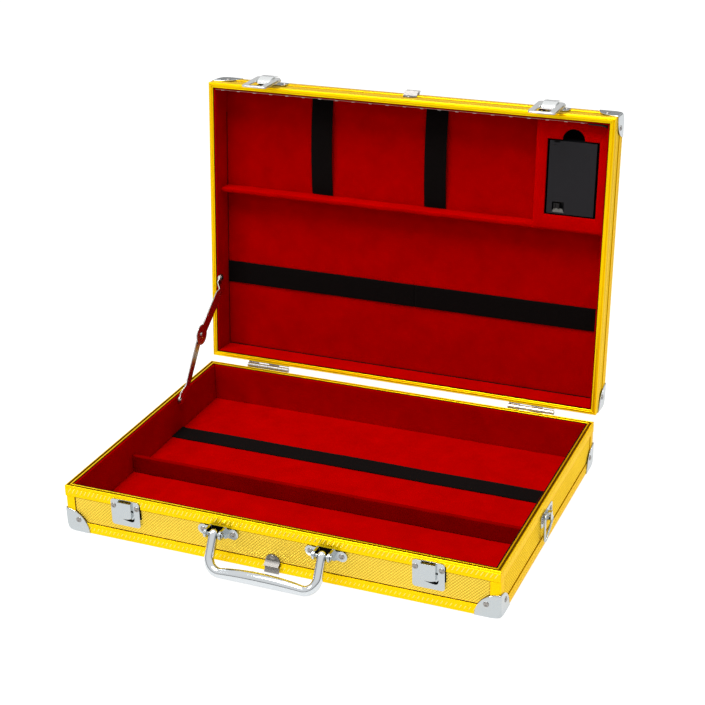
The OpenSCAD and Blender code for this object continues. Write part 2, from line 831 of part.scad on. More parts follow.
// the lead runs along the front lining, down the corner and through the foam to the box
lead_in = lead_y + inner_d;
lead_run = lead_gap / 2 + 0.1;
lead_down = lid_h - lead_z;
lead_route = [[led_end_gap - 0.4, 1.4, 5.4], [14, 1.5, 5.3], [8, 1.7, 5.4], [4, 2.4, 6.2], [2, 3.8, 8],
    [lead_run, 5, 10], [lead_run, 5.2, 13], [lead_run, 5.2, lead_down - 4],
    [lead_run, 5.6, lead_down - 1.6], [lead_run, 6.8, lead_down - 0.3], [lead_run, 8.6, lead_down],
    [lead_run, 14, lead_down], [lead_run, 20, lead_down], [lead_run, lead_in - 3, lead_down],
    [lead_run + 0.1, lead_in - 1.2, lead_down], [lead_run + 1, lead_in - 0.3, lead_down],
    [lead_run + 2.8, lead_in, lead_down], [lead_run + 6, lead_in, lead_down],
    [inner_w - box_at[0] - box_w, lead_in, lead_down]];
lead_sides = 8;

function unit(v) = v / norm(v);
function along(p, i) = unit(p[min(i + 1, len(p) - 1)] - p[max(i - 1, 0)]);
function ring_at(p, i, r) = let (t = along(p, i), s = unit(cross(t, [0.3, 0.5, 0.8])), u = cross(t, s))
    [for (k = [0:lead_sides - 1]) let (a = 360 * k / lead_sides) p[i] + r * (cos(a) * s + sin(a) * u)];

module tube(p, r) {
    n = lead_sides;
    last = (len(p) - 1) * n;
    polyhedron([for (i = [0:len(p) - 1]) each ring_at(p, i, r)],
        concat([[for (k = [0:n - 1]) k]],
            [for (i = [0:len(p) - 2], k = [0:n - 1]) let (m = (k + 1) % n)
                [i * n + k, (i + 1) * n + k, (i + 1) * n + m, i * n + m]],
            [[for (k = [n - 1:-1:0]) last + k]]));
}

module led_lead() {
    tube([for (p = lead_route) [inner_w - p[0], p[1] - inner_d, lid_h - p[2]]], lead_d / 2);
}

// ---- nodes ----
module base_floor_panel() { color(gold) floor_panel(); }
module base_front_panel() { color(gold) long_panel(base_h); }
module base_rear_panel() { color(gold) mirror([0, 1, 0]) long_panel(base_h); }
module base_end_panels() { color(gold) end_panels(base_h); }
module base_rim_rails() { color(gold) grooved_rim(base_h); }
module base_edge_rails() { color(gold) edge_rails(); }
module base_corner_posts() { color(gold) corner_posts(base_h); }
module base_corner_caps() { color(chrome) at_corners() corner_cap(); }
module base_floor_lining() { color(velvet) floor_lining(); }
module base_wall_lining() { color(velvet) wall_lining(base_h); }
module base_divider() { color(velvet) divider(); }
module base_strap() { color(elastic) long_strap(strap_back); }
module strike_plate_left() { color(chrome) on_front(-latch_x, 0) strike_plate(); }
module strike_plate_right() { color(chrome) on_front(latch_x, 0) strike_plate(); }
module handle_part() { color(chrome) handle(); }
module handle_brackets() { color(chrome) mirror_x() on_front(handle_x, 0) handle_bracket(); }
module handle_pins() {
    color(chrome) mirror_x() on_front(handle_x, 0) translate([0, pivot_out, pivot_z]) handle_pin();
}
module handle_rest() { color(chrome) on_front(0, 0) rest_clip(); }
module ring_plates() { color(chrome) mirror_x() on_end(ring_y, 0) ring_plate(); }
module strap_ring_right() { color(chrome) on_end(ring_y, 0) strap_ring(); }
module strap_ring_left() { color(chrome) mirror([1, 0, 0]) on_end(ring_y, 0) strap_ring(); }
module hinge_base_leaves() { color(chrome) at_hinges() hinge_leaf([1, 3]); }
module hinge_lid_leaves() { color(chrome) lid_pose() at_hinges() mirror([0, 0, 1]) hinge_leaf([0, 2]); }
module hinge_pins() { color(chrome) at_hinges() translate([0, hinge_out, 0]) rod_x(pin_r, hinge_l + 1); }
module stay_base_pivot() { color(chrome) at_left_lining(stay_low, 0) stay_pivot(); }
module stay_lid_pivot() { color(chrome) lid_pose() at_left_lining(stay_high, 0) stay_pivot(); }
module stay_lower_link() {
    color(chrome) at_left_lining(stay_low, lower_angle) {
        stay_link(lower_plane, link_w / 2 + 0.6, link_w);
        translate([lower_plane - elbow_head, link_l, 0]) rotate([0, 90, 0]) cylinder(r = 3, h = elbow_head);
    }
}
module stay_upper_link() {
    color(chrome) lid_pose() at_left_lining(stay_high, upper_angle) {
        stay_link(upper_plane, elbow_r, upper_link_w);
        translate([upper_plane + link_t, link_l, 0]) rotate([0, 90, 0]) cylinder(r = 3, h = elbow_head);
    }
}
module base_rivets() {
    color(chrome) {
        at_corners() cap_rivets();
        for (x = [-1, 1]) on_front(x * latch_x, 0) for (s = [-1, 1])
            front_rivet(s * plate_rivet[0], plate_rivet[1], plate_t, plate_t);
        for (x = [-1, 1]) on_front(x * handle_x, 0) for (s = [-1, 1])
            front_rivet(s * ear_x, ear_z, plate_t, plate_t + rail_t);
        on_front(0, 0) front_rivet(0, rest_rivet_z, 0.1, 0.1 + rail_t);
        mirror_x() on_end(ring_y, 0) for (s = [-1, 1])
            front_rivet(s * ring_rivet_x, ring_z, 0.3, 0.3 + rail_t);
        at_hinges() for (s = [-1, 1]) front_rivet(s * leaf_rivet_x, leaf_rivet_z, leaf_t, leaf_t);
    }
}
module lid_top_panel() { color(gold) as_lid() floor_panel(); }
module lid_front_panel() { color(gold) as_lid() long_panel(lid_h); }
module lid_rear_panel() { color(gold) as_lid() mirror([0, 1, 0]) long_panel(lid_h); }
module lid_end_panels() { color(gold) as_lid() end_panels(lid_h); }
module lid_rim_rails() { color(gold) as_lid() tongued_rim(lid_h); }
module lid_edge_rails() { color(gold) as_lid() edge_rails(); }
module lid_corner_posts() { color(gold) as_lid() corner_posts(lid_h); }
module lid_corner_caps() { color(chrome) as_lid() at_corners() corner_cap(); }
module lid_floor_lining() { color(velvet) as_lid() floor_lining(); }
module lid_wall_lining() { color(velvet) as_lid() wall_lining(lid_h); }
module lid_partition() { color(velvet) as_lid() partition(); }
module lid_long_strap() { color(elastic) as_lid() long_strap(lid_strap_back); }
module lid_short_straps() {
    color(elastic) as_lid() for (x = short_strap_x) translate([x, 0, 0]) short_strap();
}
module foam_part() { color(velvet) as_lid() foam_insert(); }
module battery_box_part() { color("dimgray") as_lid() battery_box(); }
module battery_cover_part() { color("dimgray") as_lid() battery_cover(); }
module battery_cells_part() { color("green") as_lid() battery_cells(); }
module battery_switch_part() { color("lightgray") as_lid() battery_switch(); }
module led_strip_part() { color("ivory") as_lid() led_strip(); }
module led_chips_part() { color("lightyellow") as_lid() led_chips(); }
module led_lead_part() { color(elastic) as_lid() led_lead(); }
module lid_clip() { color(chrome) as_lid() on_front(0, 0) rest_clip(); }
module latch_mounts() {
    color(chrome) lid_pose() for (x = [-1, 1]) on_front(x * latch_x, rim_z) latch_mount();
}
module latch_pins() { color(chrome) lid_pose() at_hasps() rod_x(latch_pin_r, hasp_w + 0.6); }
module hasp_at(x) {
    color(chrome) lid_pose() on_front(x, rim_z) translate([0, hasp_out, hasp_up]) children();
}
module lever_pin() {
    rotate([-hasp_lean, 0, 0]) translate([0, 0, lever_at]) rod_x(lever_pin_r, hasp_w);
}
module lid_rivets() {
    color(chrome) {
        as_lid() at_corners() cap_rivets();
        as_lid() on_front(0, 0) front_rivet(0, rest_rivet_z, 0.1, 0.1 + rail_t);
        lid_pose() for (x = [-1, 1]) on_front(x * latch_x, rim_z) for (s = [-1, 1])
            front_rivet(s * mount_rivet[0], mount_rivet[1], plate_t, plate_t);
        lid_pose() at_hinges() mirror([0, 0, 1]) for (s = [-1, 1])
            front_rivet(s * leaf_rivet_x, leaf_rivet_z, leaf_t, leaf_t);
    }
}

base_floor_panel();
base_front_panel();
base_rear_panel();
base_end_panels();
base_rim_rails();
base_edge_rails();
base_corner_posts();
base_corner_caps();
base_floor_lining();
base_wall_lining();
base_divider();
base_strap();
strike_plate_left();
strike_plate_right();
handle_part();  // handle
handle_brackets();
handle_pins();
handle_rest();
ring_plates();
strap_ring_left();
strap_ring_right();
hinge_base_leaves();
hinge_pins();
stay_base_pivot();
stay_lower_link();
base_rivets();
lid_top_panel();
lid_front_panel();
lid_rear_panel();
lid_end_panels();
lid_rim_rails();
lid_edge_rails();
lid_corner_posts();
lid_corner_caps();
lid_floor_lining();
lid_wall_lining();
lid_partition();
lid_long_strap();
lid_short_straps();
foam_part();  // foam_insert
battery_box_part();  // battery_box
battery_cover_part();  // battery_cover
battery_cells_part();  // battery_cells
battery_switch_part();  // battery_switch
led_strip_part();  // led_strip
led_chips_part();  // led_chips
led_lead_part();  // led_lead
hinge_lid_leaves();
stay_lid_pivot();
stay_upper_link();
lid_clip();
latch_mounts();
latch_pins();
hasp_at(-latch_x) hasp();  // hasp_left
hasp_at(latch_x) hasp();  // hasp_right
hasp_at(-latch_x) snap_lever();  // snap_lever_left
hasp_at(latch_x) snap_lever();  // snap_lever_right
hasp_at(-latch_x) lever_pin();  // lever_pin_left
hasp_at(latch_x) lever_pin();  // lever_pin_right
lid_rivets();
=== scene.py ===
# A gold chip case standing open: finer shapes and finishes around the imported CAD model.
import json
import math
from contextlib import contextmanager
import bpy
import bmesh
import numpy as np
from mathutils import Matrix, Vector
from mathutils.bvhtree import BVHTree

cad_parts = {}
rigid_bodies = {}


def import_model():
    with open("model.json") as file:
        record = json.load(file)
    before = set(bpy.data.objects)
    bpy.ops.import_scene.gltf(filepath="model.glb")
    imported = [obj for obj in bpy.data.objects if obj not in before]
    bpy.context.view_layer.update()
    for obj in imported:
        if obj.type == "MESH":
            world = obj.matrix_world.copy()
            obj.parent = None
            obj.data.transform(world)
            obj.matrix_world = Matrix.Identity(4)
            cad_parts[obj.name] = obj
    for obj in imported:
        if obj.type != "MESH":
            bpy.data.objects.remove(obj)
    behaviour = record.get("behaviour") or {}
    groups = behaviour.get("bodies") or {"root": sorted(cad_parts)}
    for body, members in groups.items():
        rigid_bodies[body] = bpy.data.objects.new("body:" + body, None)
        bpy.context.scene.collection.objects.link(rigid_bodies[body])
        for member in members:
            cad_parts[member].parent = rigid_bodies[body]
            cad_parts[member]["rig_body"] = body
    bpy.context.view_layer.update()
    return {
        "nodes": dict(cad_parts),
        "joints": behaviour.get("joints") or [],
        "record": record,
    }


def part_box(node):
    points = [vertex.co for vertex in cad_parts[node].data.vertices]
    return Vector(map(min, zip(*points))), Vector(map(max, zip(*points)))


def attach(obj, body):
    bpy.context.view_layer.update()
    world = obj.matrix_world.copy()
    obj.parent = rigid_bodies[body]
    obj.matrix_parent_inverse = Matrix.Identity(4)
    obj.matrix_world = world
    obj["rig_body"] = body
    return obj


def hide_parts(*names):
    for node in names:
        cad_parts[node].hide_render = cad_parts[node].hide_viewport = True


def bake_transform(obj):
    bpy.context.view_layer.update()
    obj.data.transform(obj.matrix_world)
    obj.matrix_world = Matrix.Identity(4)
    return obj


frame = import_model()
nodes = frame["nodes"]
slotOf = {s["node"]: s["material_slot"] for s in frame["record"]["subparts"]}
mm = 0.001
print("frame loaded,", len(nodes), "nodes")

cameraSetup = {
    "azimuth": 23.365,      # degrees to the right of the case's front
    "elevation": 24.268,
    "roll": -1.376,
    "distance": 1.49896,
    "aim": (0.01855, 0.0, 0.15719),
    "sensor": 36.0,
    "lens": 81.58,
    "clip": (0.05, 20),
    "search": (1.0, 2.2, 0.005),      # distances tried along a ray that meets nothing
}
imageSize = {"w": 705, "h": 705}
imagePoints = {
    "left": (64.5, None), "right": (625.4, None), "top": (None, 74.0), "bottom": (None, 620.0),
    "baseRimFrontLeft": (64.5, 485.5), "baseRimFrontRight": (501.0, 572.5), "baseRimRearRight": (592.5, 421.5),
    "baseFootFrontRight": (499.7, 619.7), "lidRimTopLeft": (209.3, 81.0), "lidRimTopRight": (616.8, 118.0),
    "lidRimLowRight": (595.0, 415.0), "lidRimLowLeft": (213.3, 356.0),
    "tackSeam": (414.8, 293.5), "coverMark": (587.0, 157.0), "coverSlot": (557.3, 141.6), "switchTab": (557.5, 207.0),
}


def newObject(name, data):
    obj = bpy.data.objects.new(name, data)
    bpy.context.scene.collection.objects.link(obj)
    return obj


def placeCamera(setup):
    # stands back from the aim along its azimuth and elevation, rolled about its own axis
    az, el, roll = (math.radians(setup[k]) for k in ("azimuth", "elevation", "roll"))
    back = Vector((math.sin(az) * math.cos(el), -math.cos(az) * math.cos(el), math.sin(el)))
    right = Vector((0, 0, 1)).cross(back).normalized()
    up = back.cross(right)
    side = right * math.cos(roll) + up * math.sin(roll)
    over = up * math.cos(roll) - right * math.sin(roll)
    data = bpy.data.cameras.new("camera")
    data.sensor_fit = "AUTO"
    data.sensor_width, data.lens = setup["sensor"], setup["lens"]
    data.clip_start, data.clip_end = setup["clip"]
    cam = newObject("camera", data)
    turn = Matrix((side, over, back)).transposed().to_4x4()
    cam.matrix_world = Matrix.Translation(Vector(setup["aim"]) + back * setup["distance"]) @ turn
    bpy.context.scene.camera = cam
    return cam


camera = placeCamera(cameraSetup)
cameraWorld = camera.matrix_world.copy()
longSide = max(imageSize["w"], imageSize["h"])
sensorLength = longSide * camera.data.lens / camera.data.sensor_width
shift = longSide * camera.data.shift_x, longSide * camera.data.shift_y


def imageSpot(name, tree):
    # where the ray through an image point meets a surface, or the place of the surface nearest that ray
    x, y = imagePoints[name]
    start = cameraWorld.translation
    ray = Vector((x - imageSize["w"] / 2 + shift[0], imageSize["h"] / 2 - y + shift[1], -sensorLength))
    way = (cameraWorld.to_3x3() @ ray).normalized()
    place = tree.ray_cast(start, way)[0]
    if place is None:
        near = [tree.find_nearest(start + way * d) for d in np.arange(*cameraSetup["search"])]
        place = min(near, key=lambda hit: hit[3])[0]
    return np.array(place)


def imagePixels(points):
    # picture x and y of an array of places
    local = (np.asarray(points) - np.array(cameraWorld.translation)) @ np.array(cameraWorld.to_3x3())
    middle = np.array([imageSize["w"] / 2 - shift[0], imageSize["h"] / 2 + shift[1]])
    return middle + sensorLength * local[:, :2] * (1, -1) / -local[:, 2:]


hinge = next(j for j in frame["joints"] if j["name"] == "lid_hinge")
hingeAt = np.array(hinge["pos_m"])
lidAngle = math.radians(hinge["range_deg"][1])


def readAll(items, key, width, kind=np.float32):
    # one property of many mesh items, a row each
    values = np.empty(len(items) * width, kind)
    items.foreach_get(key, values)
    return values.reshape(-1, width)


def verts(node):
    # a CAD node's places in the world
    return readAll(nodes[node].data.vertices, "co", 3).astype(float)


def turnX(points, angle):
    # rotation about the lid's hinge line
    p = np.asarray(points, float) - hingeAt
    c, s = math.cos(angle), math.sin(angle)
    return np.stack([p[..., 0], c * p[..., 1] - s * p[..., 2], s * p[..., 1] + c * p[..., 2]], -1) + hingeAt


totalHeight = turnX(verts("lid_corner_caps"), lidAngle)[:, 2].max()


def toTray(points, lid):
    # a tray stands on z = 0 with its rim up, the lid as well as the base
    shut = turnX(points, lidAngle) if lid else np.array(points, float)
    if lid:
        shut[..., 2] = totalHeight - shut[..., 2]
    return shut


def fromTray(points, lid):
    # the way back: a tray's places as they stand in the open case
    shut = np.array(points, float)
    if lid:
        shut[..., 2] = totalHeight - shut[..., 2]
    return turnX(shut, -lidAngle) if lid else shut


def onLid(body):
    # whether a body moves with the lid
    return body.startswith(("lid", "battery"))


def trayBox(node):
    # a node's lowest and highest corners in its tray
    p = toTray(verts(node), onLid(nodes[node]["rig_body"]))
    return p.min(0), p.max(0)


def worldBox(node):
    # a node's lowest and highest corners in the world
    return [np.array(corner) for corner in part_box(node)]


def inMm(**sizes):
    # a piece's sizes, written in millimetres, turned into metres
    return {name: np.multiply(size, mm) for name, size in sizes.items()}


@contextmanager
def reworked(mesh):
    # opens a mesh for editing and writes it back
    bm = bmesh.new()
    bm.from_mesh(mesh)
    yield bm
    bm.to_mesh(mesh)
    bm.free()


meshWork = {"weld": 2e-6, "cadWeld": 1e-6, "flat": 1, "bevel": 35, "segments": 2}      # metres and degrees


def makePiece(name, part, finish, lid=False, uv=None, smooth=True):
    # a part's coordinates, in its tray where lid is true, and its faces as a mesh object at the origin
    mesh = bpy.data.meshes.new(name)
    mesh.from_pydata(fromTray(part[0], lid).reshape(-1, 3).tolist(), [], part[1])
    if uv is not None:
        loops = readAll(mesh.loops, "vertex_index", 1, np.int32)[:, 0]
        mesh.uv_layers.new(name="run").data.foreach_set("uv", np.asarray(uv, np.float32)[loops].ravel())
    mesh.polygons.foreach_set("use_smooth", np.full(len(mesh.polygons), smooth))
    mesh.validate()
    mesh.materials.append(finishes[finish])
    return newObject(name, mesh)


def outwards(obj, turn=True):
    # merges doubles and turns every face outwards
    with reworked(obj.data) as bm:
        bmesh.ops.remove_doubles(bm, verts=bm.verts, dist=meshWork["weld"])
        if turn:
            bmesh.ops.recalc_face_normals(bm, faces=bm.faces)
    return obj


def settle(obj, body, slotName, *replaced):
    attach(obj, body)
    if replaced:
        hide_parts(*replaced)
    return obj


def addPiece(name, part, finish, body, slotName, *replaced, crisp=None, world=False, **more):
    # a piece on a body, given in its tray or in the world; edges steeper than crisp degrees stay sharp
    obj = outwards(makePiece(name, part, finish, onLid(body) and not world, **more))
    if crisp:
        with reworked(obj.data) as bm:
            for edge in bm.edges:
                edge.smooth = len(edge.link_faces) == 2 and edge.calc_face_angle(0) < math.radians(crisp)
    return settle(obj, body, slotName, *replaced)


def standIn(name, part, finish, node, **more):
    # a piece with a CAD node's body, in that node's place
    return addPiece(name, part, finish, nodes[node]["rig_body"], slotOf[node], node, **more)


def bevelEdges(obj, width):
    # rounds steep edges
    mod = obj.modifiers.new("edges", "BEVEL")
    mod.width, mod.segments = width, meshWork["segments"]
    mod.limit_method, mod.angle_limit = "ANGLE", math.radians(meshWork["bevel"])
    mod.harden_normals = True


def softened(node, width, finish=None):
    # a merged copy of a CAD node whose edges are rounded
    copy = nodes[node].data.copy()
    obj = newObject("soft_" + node, copy)
    with reworked(copy) as bm:
        bmesh.ops.remove_doubles(bm, verts=bm.verts, dist=meshWork["cadWeld"])
        bmesh.ops.dissolve_limit(bm, angle_limit=math.radians(meshWork["flat"]), verts=bm.verts, edges=bm.edges)
    if "custom_normal" in copy.attributes:
        copy.attributes.remove(copy.attributes["custom_normal"])
    copy.polygons.foreach_set("use_smooth", np.full(len(copy.polygons), True))
    copy.materials.clear()
    copy.materials.append(finishes[finish or slotOf[node]])
    bevelEdges(obj, width)
    settle(obj, nodes[node]["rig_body"], slotOf[node], node)


def addNode(tree, kind, inputs=(), out=0, **settings):
    # a shader node whose inputs are values or other nodes' outputs; gives one of its outputs
    node = tree.nodes.new("ShaderNode" + kind)
    for key, value in settings.items():
        setattr(node, key, value)
    for key, value in dict(inputs).items():
        if isinstance(value, bpy.types.NodeSocket):
            tree.links.new(value, node.inputs[key])
        else:
            node.inputs[key].default_value = value
    return node.outputs[out]


def calc(tree, kind, *values):
    return addNode(tree, "Math", enumerate(values), operation=kind)


def ranged(tree, value, low, high):
    # 0 to 1 as low to high
    return addNode(tree, "MapRange", {"Value": value, "To Min": low, "To Max": high}, "Result")


def noiseOn(tree, vector, scale, detail, rough):
    return addNode(tree, "TexNoise", {"Vector": vector, "Scale": scale, "Detail": detail, "Roughness": rough}, "Fac")


def rampOn(tree, fac, stops):
    # a colour ramp through (place, colour) stops
    ramp = addNode(tree, "ValToRGB", {"Fac": fac}).node
    points = ramp.color_ramp.elements
    while len(points) < len(stops):
        points.new(0.5)
    for point, (at, color) in zip(points, stops):
        point.position, point.color = at, (*color, 1)
    return ramp.outputs["Color"]


def parted(tree, vector):
    # the separate parts of a vector
    return addNode(tree, "SeparateXYZ", {0: vector}).node.outputs


def newFinish(name, values):
    # a material with plain values on its shader, and its nodes
    mat = bpy.data.materials.new(name)
    mat.use_nodes = True
    tree = mat.node_tree
    for key, value in values.items():
        tree.nodes["Principled BSDF"].inputs[key].default_value = value
    return mat, tree


def objectCoords(tree):
    return addNode(tree, "TexCoord", out="Object")


def dressed(mat, color=None, rough=None, bump=None):
    # links a finish's colour and roughness, and a bump's (height, strength, distance)
    tree = mat.node_tree
    normal = bump and addNode(tree, "Bump", dict(zip(("Height", "Strength", "Distance"), bump)), "Normal")
    for key, value in (("Base Color", color), ("Roughness", rough), ("Normal", normal)):
        if value:
            tree.links.new(value, tree.nodes["Principled BSDF"].inputs[key])
    return mat


velvetLook = {"nap": (45, 5, 0.65), "fibre": (1300, 2, 0.6), "napShare": 0.65, "spread": (0.3, 0.7),
              "bump": (0.4, 0.0004)}


def velvetFinish(name, dark=(0.33, 0.0, 0.0), light=(0.46, 0.0, 0.0)):
    s = velvetLook
    mat, tree = newFinish(name, {"Roughness": 1.0, "Sheen Weight": 0.12, "Sheen Roughness": 0.4,
                                 "Sheen Tint": (1.0, 0.02, 0.01, 1), "Specular IOR Level": 0.0})
    at = objectCoords(tree)
    nap, fibre = noiseOn(tree, at, *s["nap"]), noiseOn(tree, at, *s["fibre"])
    both = calc(tree, "ADD", calc(tree, "MULTIPLY", nap, s["napShare"]),
                calc(tree, "MULTIPLY", fibre, 1 - s["napShare"]))
    return dressed(mat, rampOn(tree, both, tuple(zip(s["spread"], (dark, light)))), bump=(fibre, *s["bump"]))


goldLook = {
    "drift": (14, 3, 0.6), "driftReach": 0.3, "grain": (1600, 2, 0.5), "rough": (0.26, 0.42), "bump": (0.15, 0.0002),
    "sideShade": 0.86,      # painted shade: how dark one family of grooves is painted beside the other, as light from one side would leave it
    # sheet colours: gold on the ridges, darker in the grooves as painted shade
    "stops": ((0.55, (1.0, 0.725, 0.085)), (1.0, (0.46, 0.27, 0.013))),
    "railDrift": (25, 3, 0.6), "railReach": 0.1, "railGrain": (900, 2, 0.5), "railRough": (0.24, 0.36),
    # rail colours: painted shade in the groove and at rib feet, gold, and a pale painted highlight on rib crests
    "railShadeHighlightStops": ((0.08, (0.15, 0.075, 0.0)), (0.22, (0.44, 0.22, 0.0)), (0.42, (0.98, 0.65, 0.0)),
                  (0.58, (0.98, 0.65, 0.0)), (1.0, (1.0, 0.84, 0.20))),
}


def drifting(tree, at, value, noise, reach):
    # adds a slow noise from -reach / 2 to reach / 2
    return calc(tree, "ADD", value, calc(tree, "MULTIPLY_ADD", noiseOn(tree, at, *noise), reach, -reach / 2))


def goldSheetFinish():
    # uv counts the sheet's grid: grooves lie where u - v or u + v is odd, and they are painted darker as shade, one
    # family more so
    s = goldLook
    mat, tree = newFinish("goldSheet", {"Metallic": 0.92, "Specular Tint": (0.95, 0.7, 0.2, 1)})
    at = objectCoords(tree)
    u, v = parted(tree, addNode(tree, "UVMap", uv_map="run"))[:2]
    slash = calc(tree, "PINGPONG", calc(tree, "SUBTRACT", u, v), 1.0)
    back = calc(tree, "MULTIPLY", calc(tree, "PINGPONG", calc(tree, "ADD", u, v), 1.0), s["sideShade"])
    groove = drifting(tree, at, calc(tree, "MAXIMUM", slash, back), s["drift"], s["driftReach"])
    grain = noiseOn(tree, at, *s["grain"])
    return dressed(mat, rampOn(tree, groove, s["stops"]), ranged(tree, grain, *s["rough"]), (grain, *s["bump"]))


def goldRailFinish():
    # uv x is 0 in a groove, 0.2 at a rib's feet, 1 on its crest and 0.5 elsewhere; groove and feet get painted shade,
    # crests a painted highlight
    s = goldLook
    mat, tree = newFinish("goldRail", {"Metallic": 0.75, "Specular Tint": (0.95, 0.72, 0.2, 1)})
    at = objectCoords(tree)
    run = drifting(tree, at, parted(tree, addNode(tree, "UVMap", uv_map="run"))[0], s["railDrift"], s["railReach"])
    return dressed(mat, rampOn(tree, run, s["railShadeHighlightStops"]),
                   ranged(tree, noiseOn(tree, at, *s["railGrain"]), *s["railRough"]))


chromeLook = {"haze": (160, 5, 0.7), "ripple": (420, 2, 0.5), "bump": (0.05, 0.0003)}


def chromeFinish(name="chrome", color=(0.49, 0.525, 0.54), low=0.12, high=0.26):
    mat, tree = newFinish(name, {"Metallic": 1.0, "Base Color": (*color, 1)})
    at = objectCoords(tree)
    return dressed(mat, rough=ranged(tree, noiseOn(tree, at, *chromeLook["haze"]), low, high),
                   bump=(noiseOn(tree, at, *chromeLook["ripple"]), *chromeLook["bump"]))


plasticLook = {"spots": (0.2, 0.8), "shades": (0.8, 1.2), "rough": (-0.06, 0.1), "deep": 0.0003}


def plasticFinish(name, color, rough=0.5, scale=2500, grain=0.12, shine=0.25):
    s = plasticLook
    mat, tree = newFinish(name, {"Specular IOR Level": shine})
    at = objectCoords(tree)
    spot = noiseOn(tree, at, scale, 2, 0.5)
    shades = [tuple(c * k for c in color) for k in s["shades"]]
    return dressed(mat, rampOn(tree, spot, tuple(zip(s["spots"], shades))),
                   ranged(tree, spot, rough + s["rough"][0], rough + s["rough"][1]), (spot, grain, s["deep"]))


elasticLook = {"fuzz": (1500, 2, 0.6), "stops": ((0.3, (0.001, 0.0006, 0.0005)), (0.8, (0.005, 0.003, 0.0028))),
               "bump": (0.4, 0.0003)}


def elasticFinish():
    mat, tree = newFinish("elastic", {"Roughness": 0.9, "Specular IOR Level": 0.05, "Sheen Weight": 0.01})
    at = objectCoords(tree)
    fuzz = noiseOn(tree, at, *elasticLook["fuzz"])
    return dressed(mat, rampOn(tree, fuzz, elasticLook["stops"]), bump=(fuzz, *elasticLook["bump"]))


finishes = {
    # named after the record's slots, then finishes of single pieces
    "gold_rail": goldRailFinish(), "gold_panel": goldSheetFinish(),
    "velvet": velvetFinish("velvet"), "foam": velvetFinish("foamVelvet", (0.4, 0, 0), (0.55, 0, 0)),
    "elastic": elasticFinish(), "chrome_trim": chromeFinish(),
    "handle_grip": chromeFinish("handleChrome", (0.62, 0.65, 0.67), 0.05, 0.12),
    "hinge_steel": chromeFinish("hingeSteel", (0.46, 0.44, 0.42), 0.15, 0.35),
    "box_plastic": plasticFinish("boxPlastic", (0.0065, 0.0065, 0.0085), 0.6),
    "switch_tab": plasticFinish("switchTab", (0.006, 0.005, 0.005)),
    "cell_jacket": plasticFinish("cellJacket", (0.04, 0.2, 0.07), 0.25),
    "strip_tape": plasticFinish("stripTape", (0.36, 0.27, 0.23)),
    "light_chips": plasticFinish("lightChips", (0.85, 0.72, 0.35), 0.3),
    "lead_jacket": plasticFinish("leadJacket", (0.01, 0.01, 0.011), 0.4),
    # painted shade: a darker copy of the velvet for the divider
    "velvetDeep": velvetFinish("velvetDeep", (0.19, 0, 0), (0.27, 0, 0)),
    # painted light: a lighter copy of the velvet for the left walls, which get less light
    "velvetSide": velvetFinish("velvetSide", (0.375, 0, 0), (0.52, 0, 0)),
    # near-black: the foam's core, and painted shade for the strips, plates, slabs and marks that stand for shade
    "foamCore": plasticFinish("foamCore", (0.003, 0.003, 0.003), 0.9, 900, 0.6, 0.02),
    "rivet": chromeFinish("rivetSteel", (0.31, 0.295, 0.28), 0.12, 0.26),
    "clip": chromeFinish("clipSteel", (0.2, 0.19, 0.18), 0.38, 0.5),
    "latch": chromeFinish("latchSteel", (0.56, 0.57, 0.565), 0.32, 0.46),
    "lever": chromeFinish("leverSteel", (0.78, 0.8, 0.8), 0.2, 0.3),
    "solder": chromeFinish("solder", (0.7, 0.62, 0.5), 0.3, 0.5),
    "sill": plasticFinish("sillGrey", (0.12, 0.115, 0.105), 0.6),
    "chipWhite": plasticFinish("chipWhite", (0.82, 0.82, 0.8), 0.4),
}
for name, obj in nodes.items():
    for slotItem in obj.material_slots:
        slotItem.material = finishes[slotOf[name]]
print("materials made")


def gridFaces(nu, nv, closeU=False, closeV=False):
    # quads between neighbours of a grid whose second index runs fastest
    a, b = np.meshgrid(np.arange(nu - (not closeU)), np.arange(nv - (not closeV)), indexing="ij")
    c, d = (a + 1) % nu, (b + 1) % nv
    return np.stack([a * nv + b, c * nv + b, c * nv + d, a * nv + d], -1).reshape(-1, 4).tolist()


def tubeFaces(rows, m):
    # quads between closed rows of m places, and the two ends
    return gridFaces(rows, m, closeV=True) + [list(range(m)), list(range((rows - 1) * m, rows * m))[::-1]]


def joinParts(parts):
    # several (coordinates, faces) pairs as one
    coords, faces, start = [], [], 0
    for part in parts:
        coords.append(np.reshape(part[0], (-1, 3)))
        faces += [[i + start for i in face] for face in part[1]]
        start += len(coords[-1])
    return np.concatenate(coords), faces


def raised(flat, z):
    # places of a plan at one height, or at a height each
    return np.column_stack([flat, np.broadcast_to(z, len(flat))])


def unit(vectors):
    # each vector divided by its length
    return vectors / np.linalg.norm(vectors, axis=-1, keepdims=True)


def softBox(lo, hi, radius, cell=0.012):
    # surface grid q of a box, with c = q clamped one radius inside: p = c + radius (q - c) / |q - c|
    lo, hi = np.asarray(lo, float), np.asarray(hi, float)
    steps = radius * np.tan(np.linspace(0, math.pi / 4, 4))
    runs, parts = [], []
    for a, b in zip(lo, hi):
        inner = np.linspace(a + radius, b - radius, max(2, int((b - a) / cell) + 1))
        runs.append(np.concatenate([a + radius - steps[:0:-1], inner, b - radius + steps[1:]]))
    for axis in range(3):
        u, v = (runs[k] for k in range(3) if k != axis)
        plan = np.stack(np.meshgrid(u, v, indexing="ij"), -1)
        for end in (lo[axis], hi[axis]):
            q = np.insert(plan, axis, end, -1).reshape(-1, 3)
            c = np.clip(q, lo + radius, hi - radius)
            parts.append((c + radius * unit(q - c), gridFaces(len(u), len(v))))
    return joinParts(parts)


